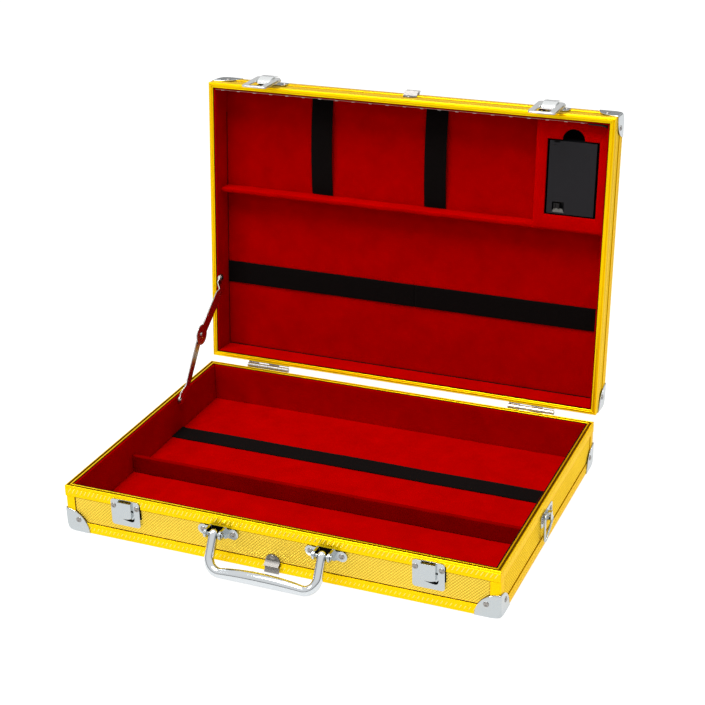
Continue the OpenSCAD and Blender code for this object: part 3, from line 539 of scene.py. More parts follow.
def rumple(coords, axis, size, scale, seed):
    # adds a sum of slow sine waves along one axis, drawn with a fixed seed
    rng = np.random.default_rng(seed)
    waves = rng.normal(size=(5, 3)) * 2 * math.pi / scale
    phases = rng.uniform(0, 6.28, 5)
    coords = np.array(coords)
    coords[:, axis] += size * np.sin(coords @ waves.T + phases).mean(1)
    return coords


def circlePlan(sides, first=0.0):
    # cosines and sines of equal steps round a circle
    a = first + np.linspace(0, 2 * math.pi, sides, endpoint=False)
    return np.column_stack([np.cos(a), np.sin(a)])


def carry(path, radius, sides, closed=False):
    # circles of the given radii stand square to the path: p = path + r (cos a n + sin a b)
    path = np.asarray(path, float)
    ahead = np.roll(path, -1, 0) - np.roll(path, 1, 0)
    if not closed:
        ahead[0], ahead[-1] = path[1] - path[0], path[-1] - path[-2]
    ahead = unit(ahead)
    normals = np.empty_like(path)
    n = np.cross(ahead[0], (0.31, 0.52, 0.79))
    for i, t in enumerate(ahead):
        n = unit(n - t * (n @ t))
        normals[i] = n
    frames = np.stack([normals, np.cross(ahead, normals)], 1)
    rings = path[:, None] + np.broadcast_to(radius, len(path))[:, None, None] * (circlePlan(sides) @ frames)
    faces = gridFaces(len(path), sides, closeU=True, closeV=True) if closed else tubeFaces(len(path), sides)
    return rings.reshape(-1, 3), faces


def lathed(profile, centre, axis, sides):
    # a profile of (radius, height) pairs turned about an axis through a centre
    axis = unit(np.asarray(axis, float))
    side = unit(np.cross(axis, (0.3, 0.5, 0.81)))
    r, h = np.asarray(profile, float).T[:, :, None, None]
    p = centre + h * axis + r * (circlePlan(sides) @ np.stack([side, np.cross(axis, side)]))
    return p.reshape(-1, 3), tubeFaces(len(r), sides)


def throughPoints(points, steps=4):
    # Catmull-Rom curve through every point
    p = np.concatenate([points[:1] * 2 - points[1:2], points, points[-1:] * 2 - points[-2:-1]])
    t = np.linspace(0, 1, steps, endpoint=False)[:, None, None]
    a, b, c, d = p[:-3], p[1:-2], p[2:-1], p[3:]
    curve = 0.5 * (2 * b + (c - a) * t + (2 * a - 5 * b + 4 * c - d) * t ** 2 + (3 * b - a - 3 * c + d) * t ** 3)
    return np.concatenate([curve.transpose(1, 0, 2).reshape(-1, points.shape[1]), points[-1:]])


def circleArc(centre, radius, start, end, count):
    # centre + radius (cos a, sin a), from one angle in degrees to another
    a = np.radians(np.linspace(start, end, count))
    return np.column_stack([centre[0] + radius * np.cos(a), centre[1] + radius * np.sin(a)])


railShape = inMm(
    web=1.6, flange=11.2, innerFlange=7, wall=0.9, width=5, groove=2.2, mitre=0.07, toe=0.25, lip=0.7, innerLip=0.4,
    ribs=(-7.9, -2.7), ribMargin=3, bead=[(0, -2.35), (0.3, -2.15), (0.3, -1.95), (0, -1.75)],
    lid=[(0, -0.35), (0.25, -0.35), (0.35, 0.3), (0.5, 0.5)],      # from the rim's middle strip up to its tongue
    base=[(-0.15, 0), (0, -0.15), (0, -1.1)])                      # and down to its groove
edgeShape = inMm(leg=10, round=0.9, drop=0.65, trim=5, chamfer=0.2, ribs=(2.8, 6.6), ribMargin=23)
postShape = inMm(leg=9.5, round=2.3, chamfer=0.15)
ribShape = {"lean": 0.6, **inMm(pitch=4.3, wide=2.3, rise=0.34, slope=0.5, sink=0.05)}
latticeShape = {"near": 1e-7, **inMm(spacing=1.55, rise=0.3, channel=0.8, under=1.4, recess=1, inset=0.95, thick=2.6,
                                     broadThick=2.2)}
railCrisp = 28      # degrees
handed = [(sx, sy) for sx in (-1, 1) for sy in (-1, 1)]

trays = {}
for side in ("base", "lid"):
    lo, hi = trayBox(side + "_edge_rails")
    trays[side] = {"halfX": hi[0], "halfY": hi[1], "low": lo[2],
                   "top": trayBox(side + "_front_panel")[1][2] + railShape["web"]}


def sideTurn(k, coords):
    # quarter turns about the vertical
    c, s = round(math.cos(k * math.pi / 2)), round(math.sin(k * math.pi / 2))
    p = np.asarray(coords, float)
    return np.stack([c * p[..., 0] - s * p[..., 1], s * p[..., 0] + c * p[..., 1], p[..., 2]], -1)


def sideSizes(tray, k):
    # half the length of a side, and its distance from the middle
    return (tray["halfX"], tray["halfY"])[::-1 if k % 2 else 1]


def mitredBars(profile, tray, gap):
    # the profile (depth inwards, height) runs along each side between mitres: x = ±(half - depth - gap)
    deep, z = np.asarray(profile, float).T
    parts = []
    for k in range(4):
        half, out = sideSizes(tray, k)
        x = np.array([-1, 1])[:, None] * (half - deep - gap)
        bar = np.stack(np.broadcast_arrays(x, deep - out, z), -1)
        parts.append((sideTurn(k, bar.reshape(-1, 3)), tubeFaces(2, len(z))))
    return parts


def ribRows(tray, low, high, margin):
    # slanted three-sided ribs in a row on each side: foot corners at ± half a width, crest between them
    s = ribShape
    off = np.array([-0.5, 0, 0.5, -0.5, 0, 0.5]) * s["wide"]
    y = np.where([True, False, True, True, False, True], s["sink"], -s["rise"])
    z = np.array([low, low + s["slope"], low, high, high - s["slope"], high])
    one = np.array([[0, 1, 4, 3], [1, 2, 5, 4], [2, 0, 3, 5]])
    ends = np.array([[0, 2, 1], [3, 4, 5]])
    parts = []
    for k in range(4):
        half, out = sideSizes(tray, k)
        at = np.arange(-half + margin, half - margin, s["pitch"])[:, None]
        p = np.stack(np.broadcast_arrays(at + off + (z - low) * s["lean"], y - out, z), -1).reshape(-1, 3)
        start = 6 * np.arange(len(at))[:, None, None]
        faces = (one + start).reshape(-1, 4).tolist() + (ends + start).reshape(-1, 3).tolist()
        parts.append((sideTurn(k, p), faces))
    return parts


def ribMap(bars, ribs=(), dark=()):
    # uv of bars at 0.5, of their profile's dark points at 0, and of rib corners at 0.2, 1, 0.2: painted shade in the
    # groove and at rib feet, a painted highlight on each crest
    flat = np.full(sum(len(b[0]) for b in bars), 0.5)
    flat.reshape(2 * len(bars), -1)[:, list(dark)] = 0.0
    crest = np.tile([0.2, 1.0, 0.2], sum(len(r[0]) for r in ribs) // 3)
    return raised(np.concatenate([flat, crest]), 0)


def angleProfile(s, count, low=0.0, foot=0.0):
    # an angle section with a rounded corner, as (depth inwards, height)
    leg, t, o, cut = s["leg"], railShape["wall"], s["round"], s["chamfer"]
    return np.array([(t, low + leg), (cut, low + leg), (0, low + leg - cut),
                     *circleArc((o, foot + o), o, 180, 270, count),
                     (leg - cut, foot), (leg, foot + cut), (leg, low + t), (t, low + t)])


def latticeSheet(origin, across, up, wide, tall, thick):
    # heights alternate over a grid, so crossed grooves run through the low points; a channel and a skirt go round it
    s = latticeShape
    nu, nv = (max(2, round(size / s["spacing"])) for size in (wide, tall))
    i, j = np.meshgrid(np.arange(nu + 1), np.arange(nv + 1), indexing="ij")
    odd = (i + j) % 2
    edge = (i == 0) | (i == nu) | (j == 0) | (j == nv)
    grid = np.stack([i / nu * wide, j / nv * tall, np.where(edge | (odd == 1), 0, s["rise"])], -1).reshape(-1, 3)
    a = (i * (nv + 1) + j)[:-1, :-1].ravel()
    b, c, d = a + nv + 1, a + nv + 2, a + 1
    even = odd[:-1, :-1].ravel() == 0
    tris = np.concatenate([np.stack([a, b, np.where(even, d, c)], -1), np.stack([np.where(even, b, a), c, d], -1)])
    loop = np.concatenate([np.arange(nu + 1) * (nv + 1), nu * (nv + 1) + np.arange(1, nv + 1),
                           np.arange(nu - 1, -1, -1) * (nv + 1) + nv, np.arange(nv - 1, 0, -1)])
    rim = grid[loop]
    half = np.array([wide, tall, 0]) / 2
    centred = rim - half
    pushed = rim + (s["channel"] + s["under"]) * np.sign(centred) * (np.abs(centred) > half - s["near"])
    rings = [rim - (0, 0, s["recess"]), pushed - (0, 0, s["recess"]), pushed - (0, 0, thick)]
    m = len(loop)
    index = np.concatenate([loop[None], len(grid) + np.arange(3 * m).reshape(3, m)])
    nxt = np.roll(index, -1, 1)
    skirt = np.stack([index[:-1], index[1:], nxt[1:], nxt[:-1]], -1).reshape(-1, 4)
    coords = np.concatenate([grid, *rings])
    faces = tris.tolist() + skirt.tolist() + [index[-1].tolist()[::-1]]
    world = origin + coords @ np.stack([across, up, np.cross(across, up)])
    return world, faces, coords[:, :2] / (wide / nu, tall / nv)


def makeRails(side):
    # a rim rail round the top, an edge rail along the foot and a post in each corner
    tray, r, e, p = trays[side], railShape, edgeShape, postShape
    h, low, w, half = tray["top"], tray["low"], r["width"], (r["width"] - r["groove"]) / 2
    foot, inner = h - r["flange"], h - r["innerFlange"]
    rise = r[side] + (half, h)
    profile = np.array([
        (r["wall"], foot), (r["toe"], foot), (0, foot + r["toe"]), *(r["bead"] + (0, h)),
        *circleArc((r["lip"], h - r["lip"]), r["lip"], 180, 90, 5), *rise, *((w, 0) + rise[::-1] * (-1, 1)),
        *circleArc((w - r["innerLip"], h - r["innerLip"]), r["innerLip"], 90, 0, 4), (w, inner), (w - r["wall"], inner),
        (w - r["wall"], h - r["web"]), (r["wall"], h - r["web"])])
    # the groove's floor takes painted shade through the uv
    groove = np.flatnonzero(np.abs(profile[:, 1] - h - r["base"][-1, 1]) < latticeShape["near"])
    bars, ribs = mitredBars(profile, tray, r["mitre"]), ribRows(tray, *(r["ribs"] + h), r["ribMargin"])
    standIn(side + "RimRail", joinParts(bars + ribs), "gold_rail", side + "_rim_rails", uv=ribMap(bars, ribs, groove),
            crisp=railCrisp)
    bars = mitredBars(angleProfile(e, 6, low, low - e["drop"]), tray, e["trim"])
    ribs = ribRows(tray, *(e["ribs"] + low), e["ribMargin"])
    standIn(side + "EdgeRail", joinParts(bars + ribs), "gold_rail", side + "_edge_rails", uv=ribMap(bars, ribs),
            crisp=railCrisp)
    shape, corner = angleProfile(p, 7), (tray["halfX"], tray["halfY"])
    posts = [(np.concatenate([raised((corner - shape) * way, z) for z in (low + e["leg"], foot)]),
              tubeFaces(2, len(shape))) for way in handed]
    standIn(side + "Posts", joinParts(posts), "gold_rail", side + "_corner_posts", uv=ribMap(posts), crisp=railCrisp)


def makeSheets(side):
    # pressed sheets between the rails, seen from outside
    tray, s, leg = trays[side], latticeShape, edgeShape["leg"]
    across, rear, up = np.eye(3)
    c = s["channel"]
    low, high = tray["low"] + leg + c, tray["top"] - railShape["flange"] - c
    walls = []
    for k in range(4):
        half, out = sideSizes(tray, k)
        start = half - postShape["leg"] - c
        sheet = latticeSheet((-start, s["inset"] - out, low), across, up, 2 * start, high - low, s["thick"])
        walls.append((sideTurn(k, sheet[0]), *sheet[1:]))
    x, y = (tray[key] - leg - c for key in ("halfX", "halfY"))
    broad = latticeSheet((-x, y, tray["low"] + s["inset"]), across, -rear, 2 * x, 2 * y, s["broadThick"])
    for name, sheets, node in (("FrontSheet", walls[:1], "_front_panel"), ("RearSheet", walls[2:3], "_rear_panel"),
                               ("EndSheets", walls[3:] + walls[1:2], "_end_panels"),
                               ("BroadSheet", [broad], "_top_panel" if side == "lid" else "_floor_panel")):
        standIn(side + name, joinParts(sheets), "gold_panel", side + node, uv=np.concatenate([p[2] for p in sheets]),
                smooth=False)
    print(side, "frame made")


capShape = {"cells": 26, "crowd": 1.5, "shell": 0.97, **inMm(leg=24.3, wall=0.9, edge=1.5, corner=5.2, reach=10)}


def makeCaps(side):
    # three quarter discs meet at a corner: with c = max(q, r), p = c + r (q - c) / |q - c|; r grows towards the corner
    s = capShape
    t = np.linspace(0, 1, s["cells"]) ** s["crowd"]
    u, v = np.meshgrid(t, t, indexing="ij")
    a, b = u * np.sqrt(1 - v ** 2 / 2) * s["leg"], v * np.sqrt(1 - u ** 2 / 2) * s["leg"]
    zero = np.zeros_like(a)
    q = np.stack([np.stack(leaf, -1).reshape(-1, 3) for leaf in ((a, b, zero), (zero, a, b), (b, zero, a))])
    near = np.clip(1 - q.max(-1, keepdims=True) / s["reach"], 0, 1)
    r = s["edge"] + (s["corner"] - s["edge"]) * near ** s["crowd"]
    c = np.maximum(q, r)
    leaves = c + r * (q - c) / np.linalg.norm(q - c, axis=-1, keepdims=True)
    faces = gridFaces(s["cells"], s["cells"])
    parts = []
    for sx, sy in handed:
        turned = [f[::-1] for f in faces] if (sx * sy < 0) == (side == "lid") else faces
        at = (sx * (trays[side]["halfX"] + s["wall"]), sy * (trays[side]["halfY"] + s["wall"]), 0)
        parts += [(leaf * (-sx, -sy, 1) + at, turned) for leaf in leaves]
    caps = outwards(makePiece(side + "Caps", joinParts(parts), "chrome_trim", side == "lid"), turn=False)
    wall = caps.modifiers.new("wall", "SOLIDIFY")
    wall.thickness, wall.offset = s["wall"] * s["shell"], -1
    settle(caps, side, "chrome_trim", side + "_corner_caps")


for side in trays:
    makeRails(side)
    makeSheets(side)
    makeCaps(side)
print("caps made")

velvetShape = {
    "cell": 0.006, "seed": 3, "floorWave": (2, 0.25 * mm, 0.09), "standWave": (1, 0.35 * mm, 0.12),
    **inMm(round=0.8, clear=0.05, inset=(0.4, 0.4, 0), wall=1.4, gap=0.15, standInset=(0.2, 0, 0), divider=1.3,
           partition=1.6)}


def makeVelvet(name, boxes, node, radius, wave=None, finish="velvet"):
    # boards with rounded edges, rumpled by (axis, size, scale) where a wave is given
    parts = []
    for n, (lo, hi) in enumerate(boxes):
        coords, faces = softBox(lo, hi, radius, velvetShape["cell"])
        parts.append((rumple(coords, *wave, n + velvetShape["seed"]) if wave else coords, faces))
    standIn(name, joinParts(parts), finish, node)


def makeLinings(side):
    # a board on the tray's floor and one on each wall; the left one is its own piece, in a lighter copy of the velvet
    # as painted light
    s, node = velvetShape, side + "_wall_lining"
    lo, hi = trayBox(side + "_floor_lining")
    makeVelvet(side + "FloorVelvet", [(lo, hi - (0, 0, s["clear"]))], side + "_floor_lining", s["round"],
               s["floorWave"])
    lo, hi = trayBox(node)
    lo, hi, t = lo + s["inset"], hi - s["inset"], s["wall"]
    x0, x1 = lo[0] + t + s["gap"], hi[0] - t - s["gap"]
    walls = [((x0, *lo[1:]), (x1, lo[1] + t, hi[2])), ((x0, hi[1] - t, lo[2]), (x1, *hi[1:])),
             ((hi[0] - t, *lo[1:]), hi)]
    makeVelvet(side + "WallVelvet", walls, node, s["round"])
    makeVelvet(side + "LeftVelvet", [(lo, (lo[0] + t, *hi[1:]))], node, s["round"], finish="velvetSide")


def makeStanding(name, node, finish):
    # a covered board that stands between two walls
    s = velvetShape
    lo, hi = trayBox(node)
    makeVelvet(name + "Velvet", [(lo + s["standInset"], hi - s["standInset"])], node, s[name], s["standWave"], finish)


for side in trays:
    makeLinings(side)
# the divider's darker velvet is painted shade
makeStanding("divider", "base_divider", "velvetDeep")
makeStanding("partition", "lid_partition", "velvet")

shadeStripShape = {"cell": 0.05, **inMm(round=0.1, thick=0.42, over=0.35, deep=4, edge=1.15, edgeUnder=0.12, edgeDeep=1.2,
                                  floor=0.9, floorDeep=0.3, rearRound=0.3, leftRound=0.2, lap=0.2, leftFrom=30)}


def makeShadeStrips(side):
    # painted shade: near-black strips between the rim rail and the wall boards, along the base rim's inner top edge at
    # its front and right, and along the lid's floor at its rear and left walls, where shade falls
    s = shadeStripShape
    lo, hi = trayBox(side + "_wall_lining")
    (x0, y0), (x1, y1, z1) = lo[:2], hi
    t, high, low, r = s["thick"], z1 + s["over"], z1 + s["over"] - s["deep"], s["round"]
    boxes = [((x0, y0, low), (x1, y0 + t, high), r), ((x0, y1 - t, low), (x1, y1, high), r),
             ((x0, y0 + t, low), (x0 + t, y1 - t, high), r), ((x1 - t, y0 + t, low), (x1, y1 - t, high), r)]
    if side == "base":
        x, y = (trays[side][key] - railShape["width"] for key in ("halfX", "halfY"))
        high, d = trays[side]["top"] - s["edgeUnder"], s["edge"]
        low = high - s["edgeDeep"]
        boxes += [((-x, -y, low), (x, d - y, high), r), ((x - d, d - y, low), (x, y, high), r)]
    else:
        z, d, wall = trayBox("lid_floor_lining")[1][2], s["floor"], velvetShape["wall"] + velvetShape["inset"][0]
        x, y, low = x0 + wall, y1 - wall, z - s["floorDeep"]
        boxes += [((x, y - d, low), (x1 - wall, y + s["lap"], z + d), s["rearRound"]),
                  ((x - s["lap"], y0 + s["leftFrom"], low), (x + d / 2, y, z + d / 2), s["leftRound"])]
    addPiece(side + "Seams", joinParts([softBox(*box, s["cell"]) for box in boxes]), "foamCore", side, "velvet")


for side in trays:
    makeShadeStrips(side)
print("velvet made")

elasticShape = {"steps": 4, "waves": 3, "crisp": 40, **inMm(
    thick=1.2, ribPitch=1.3, ribRise=0.07, end=0.3, sink=0.15, wave=0.35, lift=0.9, liftRun=5, tack=0.75, tackRun=1.1)}


def strapSheet(path, width, sideways):
    # a flattened loop carried along the path: rows of ribs lie across it, its selvedges are rounded
    s = elasticShape
    half, t = width / 2, s["thick"] / 2
    right = circleArc((half - t, t), t, -90, 90, 5)
    top = raised(np.linspace(half - t, t - half, 9)[1:-1], 2 * t)
    section = np.concatenate([right, top, right[::-1] * (-1, 1)])
    run = np.concatenate([[0], np.cumsum(np.linalg.norm(np.diff(path, axis=0), axis=1))])
    rib = s["ribRise"] * np.sin(2 * math.pi * run / s["ribPitch"])
    upward = np.cross(unit(np.gradient(path, axis=0)), sideways)
    upward *= np.sign(upward[:, 2:])
    high = section[:, 1] + np.where(section[:, 1] > t, rib[:, None], 0)
    wide = np.broadcast_to(section[:, 0], high.shape)
    p = path[:, None] + wide[..., None] * np.asarray(sideways) + high[..., None] * upward[:, None]
    uv = np.stack([np.broadcast_to(run[:, None], wide.shape), wide], -1)
    return p.reshape(-1, 3), tubeFaces(len(path), len(section)), uv.reshape(-1, 2)


def makeStraps(name, strips, node):
    uv = np.concatenate([s[2] for s in strips])
    standIn(name, joinParts(strips), "elastic", node, uv=uv, crisp=elasticShape["crisp"])


def strapRun(low, high):
    # stations between a strap's ends, a few to each rib
    s = elasticShape
    return np.arange(low + s["end"], high - s["end"], s["ribPitch"] / s["steps"])


def longStrap(node, tack=None):
    # lies on the floor board from end wall to end wall; a tack draws it down in one place
    s = elasticShape
    lo, hi = trayBox(node)
    x = strapRun(lo[0], hi[0])
    z = lo[2] - s["sink"] + s["wave"] * np.sin((x - lo[0]) / (hi[0] - lo[0]) * math.pi * s["waves"]) ** 2
    z += s["lift"] * np.clip(1 - np.minimum(x - lo[0], hi[0] - x) / s["liftRun"], 0, 1) ** 2
    if tack is not None:
        z -= s["tack"] * np.exp(-((x - tack) / s["tackRun"]) ** 2)
    path = np.column_stack([x, np.full_like(x, (lo[1] + hi[1]) / 2), z])
    return strapSheet(path, hi[1] - lo[1], (0, 1, 0))


def shortStrap(lo, hi):
    # bows up in an arc from the front board to the partition
    y = strapRun(lo[1], hi[1])
    t = (y - y[0]) / (y[-1] - y[0])
    bow = hi[2] - lo[2] - elasticShape["thick"]
    path = np.column_stack([np.full_like(y, (lo[0] + hi[0]) / 2), y, lo[2] + bow * 4 * t * (1 - t)])
    return strapSheet(path, hi[0] - lo[0], (1, 0, 0))


def islands(node):
    # the separate solids of a CAD node in its tray: the lowest number of each spreads along its edges
    mesh = nodes[node].data.copy()
    with reworked(mesh) as bm:
        bmesh.ops.remove_doubles(bm, verts=bm.verts, dist=meshWork["cadWeld"])
    points = toTray(readAll(mesh.vertices, "co", 3).astype(float), onLid(nodes[node]["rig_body"]))
    a, b = readAll(mesh.edges, "vertices", 2, np.int32).T
    bpy.data.meshes.remove(mesh)
    label, last = np.arange(len(points)), None
    while last is None or (label != last).any():
        last = label.copy()
        np.minimum.at(label, a, last[b])
        np.minimum.at(label, b, last[a])
        label = label[label]
    return [points[label == k] for k in np.unique(label)]


foamShape = {"count": 240, "notchCount": 60, "crisp": 50, **inMm(
    gap=(2.25, 1.5), lap=4.4, over=0.8, notch=11, skin=1.1, outerRound=2.2, innerRound=0.9, crown=0.25, edge=0.05,
    tuck=0.6, core=(0.03, 0.5), coreUnder=0.02, padGap=0.02, pad=(0.06, 0.14))}


def makeFoam():
    # for each angle about the pocket's middle, the outline lies where the ray leaves the rectangle or the notch
    s = foamShape
    lo, hi = trayBox("foam_insert")
    hi = hi + (0, s["lap"], s["over"])
    boxLo, boxHi = trayBox("battery_box")
    pLo, pHi = boxLo[:2] - s["gap"], boxHi[:2] + s["gap"]
    centre = (pLo + pHi) / 2
    dip = centre[1] - pLo[1]
    corners = [math.atan2(y - centre[1], x - centre[0]) for low, high in ((lo, hi), (pLo, pHi))
               for x in (low[0], high[0]) for y in (low[1], high[1])]
    dense = np.linspace(math.atan2(-dip, -s["notch"]), math.atan2(-dip, s["notch"]), s["notchCount"])
    even = np.linspace(-math.pi, math.pi, s["count"], endpoint=False)
    a = np.unique(np.concatenate([even, corners, dense]))
    d = np.column_stack([np.cos(a), np.sin(a)])

    def reach(low, high):
        # how far each ray goes before it leaves a rectangle
        with np.errstate(divide="ignore"):
            t = np.maximum((low - centre) / d, (high - centre) / d)
        return t.min(1)

    # the notch is the far root of |t d - (0, -dip)| = notch radius
    along = d @ np.array([0, -dip])
    inside = along ** 2 - dip ** 2 + s["notch"] ** 2
    far = np.where((inside > 0) & (d[:, 1] < 0), along + np.sqrt(np.maximum(inside, 0)), 0)
    outer, inner = reach(lo[:2], hi[:2]), np.maximum(reach(pLo, pHi), far)

    def rings(profile):
        # each ring lies a share of the way from the outer outline to the inner one, a shift outwards, at a height
        share, shift, z = np.asarray(profile, float).T[:, :, None]
        r = outer * (1 - share) + inner * share + shift
        p = np.concatenate([centre + r[..., None] * d, np.broadcast_to(z[..., None], (*r.shape, 1))], -1)
        return p.reshape(-1, 3), gridFaces(len(profile), len(a), closeU=True, closeV=True)

    top, foot, rO, rI = hi[2], lo[2], s["outerRound"], s["innerRound"]
    turn = np.radians(np.linspace(0, 90, 5))
    skin = [(0, -s["edge"], foot)]
    skin += [(0, -s["edge"] - rO * (1 - math.cos(t)), top - rO + rO * math.sin(t)) for t in turn]
    skin += [(w, 0, top + s["crown"] * math.sin(math.pi * w)) for w in (0.25, 0.5, 0.75)]
    skin += [(1, rI * (1 - math.sin(t)), top - rI + rI * math.cos(t)) for t in turn]
    skin += [(1, 0, top - s["skin"]), (1, s["tuck"], top - s["skin"]), (1, s["tuck"], foot)]
    standIn("foamSkin", rings(skin), "foam", "foam_insert", crisp=s["crisp"])
    # the pocket's wall under the skin is near-black; the pad is a near-black sheet over the pocket's floor, painted
    # shade in the gap round the box
    near, wide = s["core"]
    head = top - s["skin"] - s["coreUnder"]
    core = rings([(1, near, foot), (1, near, head), (1, wide, head), (1, wide, foot)])
    pad = rings([(1, -s["padGap"], foot + z) for z in s["pad"]])[0], tubeFaces(2, len(a))
    addPiece("foamCore", joinParts([core, pad]), "foamCore", "lid", "foam", crisp=s["crisp"])


makeFoam()
makeStraps("baseStrap", [longStrap("base_strap")], "base_strap")
makeStraps("lidShortStraps", [shortStrap(p.min(0), p.max(0)) for p in islands("lid_short_straps")], "lid_short_straps")
plainStrap = longStrap("lid_long_strap")
carrier = BVHTree.FromPolygons(fromTray(plainStrap[0], True).tolist(), plainStrap[1])
tackAt = toTray(imageSpot("tackSeam", carrier), True)[0]
makeStraps("lidLongStrap", [longStrap("lid_long_strap", tackAt)], "lid_long_strap")
print("foam and straps made, tack at", round(float(tackAt), 4))

chipShape = {
    # outline, size and height of each ring in millimetres
    "body": (("square", 1.8, 0), ("square", 1.68, 0.95), ("circle", 1.3, 1), ("circle", 1, 0.62)),
    "lens": (("circle", 1.2, 0.7), ("circle", 0.975, 0.86), ("circle", 0.39, 0.94)),
    "sides": 16, "tapeCell": 0.02,
    **inMm(sunk=0.02, tapeInset=(0.2, 0, 0), tapeRound=0.15, pad=4.1, padLow=(0.8, 0.1, 1.6), padHigh=(0.8, 0.06, 1.6),
           padRound=0.05)}


def makeLights():
    # white frames with sloping sides and a round well, a yellow dome in each, and a solder pad at both ends
    s = chipShape
    lo, hi = trayBox("led_strip")
    middles = [(p.min(0) + p.max(0)) / 2 * (1, 0, 1) for p in islands("led_chips")]
    circle = circlePlan(s["sides"], math.pi / s["sides"])
    outlines = {"circle": circle, "square": circle / np.abs(circle).max(1, keepdims=True)}

    def copies(rings):
        # rings stacked on the tape at each light's middle
        one = np.concatenate([np.insert(outlines[key] * size * mm, 1, hi[1] - s["sunk"] + y * mm, 1)
                              for key, size, y in rings])
        return joinParts([(one + c, tubeFaces(len(rings), s["sides"])) for c in middles])

    pads = [c + (way * s["pad"], hi[1], 0) for c in middles for way in (-1, 1)]
    standIn("lightTape", softBox(lo + s["tapeInset"], hi, s["tapeRound"], s["tapeCell"]), "strip_tape", "led_strip")
    addPiece("lightPads", joinParts([softBox(p - s["padLow"], p + s["padHigh"], s["padRound"]) for p in pads]),
             "solder", "lid", "strip_tape")
    standIn("lightBodies", copies(s["body"]), "chipWhite", "led_chips", smooth=False)
    addPiece("lightLenses", copies(s["lens"]), "light_chips", "lid", "light_chips")


makeLights()
print("lights made")

handleShape = {"lean": 30, "swell": 2.2, "sides": 32, "crisp": 40, "stations": (61, 14, 12, 9), **inMm(
    leg=4.65, grip=6.2, x=53.5, bend=12.5, taper=40, outer=37.6, top=4.9, face=1, hollowRound=0.05,
    hollowLow=(6.2, 0.12, 4.4), hollowHigh=(6.2, 0.1, 4))}


def makeHandle():
    # a bar bent at both ends; its outer edge stays straight while its radius swells, so its middle line bows inwards
    s = handleShape
    lo, hi = worldBox("handle_pins")
    pivot = (lo + hi) / 2 * (0, 1, 1)
    lean = math.radians(s["lean"])
    along, bent, down, over = s["stations"]
    x = np.linspace(s["bend"] - s["x"], s["x"] - s["bend"], along)
    grip = s["leg"] + (s["grip"] - s["leg"]) * np.clip(1 - (np.abs(x) / s["taper"]) ** s["swell"], 0, 1)
    b, end = s["bend"], s["outer"] - s["leg"]
    bend = circleArc((b - s["x"], end - b), b, 180, 90, bent)
    # each leg ends above its pin in a dome: with t from 0 to 1, height = top cos t', radius = leg sin t'
    turn = np.radians(np.linspace(4, 90, over))[:-1]
    legs = np.concatenate([-s["top"] * np.cos(turn), np.linspace(0, end - b, down)[:-1]])
    left = np.concatenate([raised(np.full(len(legs), -s["x"]), legs), bend[:-1]])
    flat = np.concatenate([left, raised(x, s["outer"] - grip), left[::-1] * (-1, 1)])
    thick = s["leg"] * np.concatenate([np.sin(turn), np.ones(len(left) - len(turn))])
    path = pivot + flat @ np.array([(1, 0, 0), (0, -math.sin(lean), -math.cos(lean))])
    standIn("carryHandle", carry(path, np.concatenate([thick, grip, thick[::-1]]), s["sides"]), "handle_grip", "handle",
            crisp=s["crisp"])
    # painted shade: a near-black plate behind the top of each leg, between the bracket's cheeks
    backs = [np.array([k * s["x"], -trays["base"]["halfY"] - s["face"], pivot[2]]) for k in (-1, 1)]
    shadePlates = [softBox(at - s["hollowLow"], at + s["hollowHigh"], s["hollowRound"]) for at in backs]
    addPiece("bracketHollows", joinParts(shadePlates), "foamCore", "base", "chrome_trim")


makeHandle()

fittings = {
    # CAD shapes with rounded edges: edge width in millimetres, and a finish where it isn't the slot's own
    "strike_plate_left": (0.3,), "strike_plate_right": (0.3,), "latch_mounts": (0.3,), "hasp_left": (0.6, "latch"),
    "hasp_right": (0.6, "latch"), "latch_pins": (0.2,), "lever_pin_left": (0.2,), "lever_pin_right": (0.2,),
    "handle_brackets": (0.35,), "handle_pins": (0.25,), "handle_rest": (0.2, "clip"), "lid_clip": (0.2, "clip"),
    "ring_plates": (0.12,), "strap_ring_left": (0.05,), "strap_ring_right": (0.05,), "hinge_base_leaves": (0.2,),
    "hinge_lid_leaves": (0.2,), "hinge_pins": (0.25,), "stay_base_pivot": (0.2,), "stay_lid_pivot": (0.2,),
    "stay_lower_link": (0.25,), "stay_upper_link": (0.25,), "battery_box": (0.4,), "battery_cover": (0.35,),
}
for node, (width, *finish) in fittings.items():
    softened(node, width * mm, *finish)

leverShape = {"cell": 0.0012, "front": 35.4, "rear": 13.6, "tail": 31.0, **inMm(
    round=1.2, crest=9.4, high=5.82, arch=4.4, archFrom=7, archTo=8.2, tailFrom=15)}


def makeLever(side):
    # top and underside fall with the square of the distance d from the crest and the tail; the rear part is arched
    s = leverShape
    lo, hi = worldBox("snap_lever_" + side)
    p, faces = softBox(lo, hi, s["round"], s["cell"])
    d = p[:, 1] - lo[1]
    t = d - s["crest"]
    top = s["high"] - np.where(t < 0, s["front"], s["rear"]) * t ** 2
    under = s["arch"] * np.clip((d - s["archFrom"]) / (s["archTo"] - s["archFrom"]), 0, 1)
    under -= s["tail"] * np.maximum(d - s["tailFrom"], 0) ** 2
    share = (p[:, 2] - lo[2]) / (hi[2] - lo[2])
    p = raised(p[:, :2], lo[2] + under + share * (top - under))
    standIn("lever_" + side, (p, faces), "lever", "snap_lever_" + side)


# pad: where the near-black slab of painted shade under each loop's window lies
loopShape = {"crisp": 40, **inMm(arm=6.1, near=4.4, far=7, thick=1.5, edge=0.4, outer=4, inner=1.4, padRound=0.3,
                                 pad=((-12.5, 183, 350.05), (3.5, 194.5, 350.95)))}


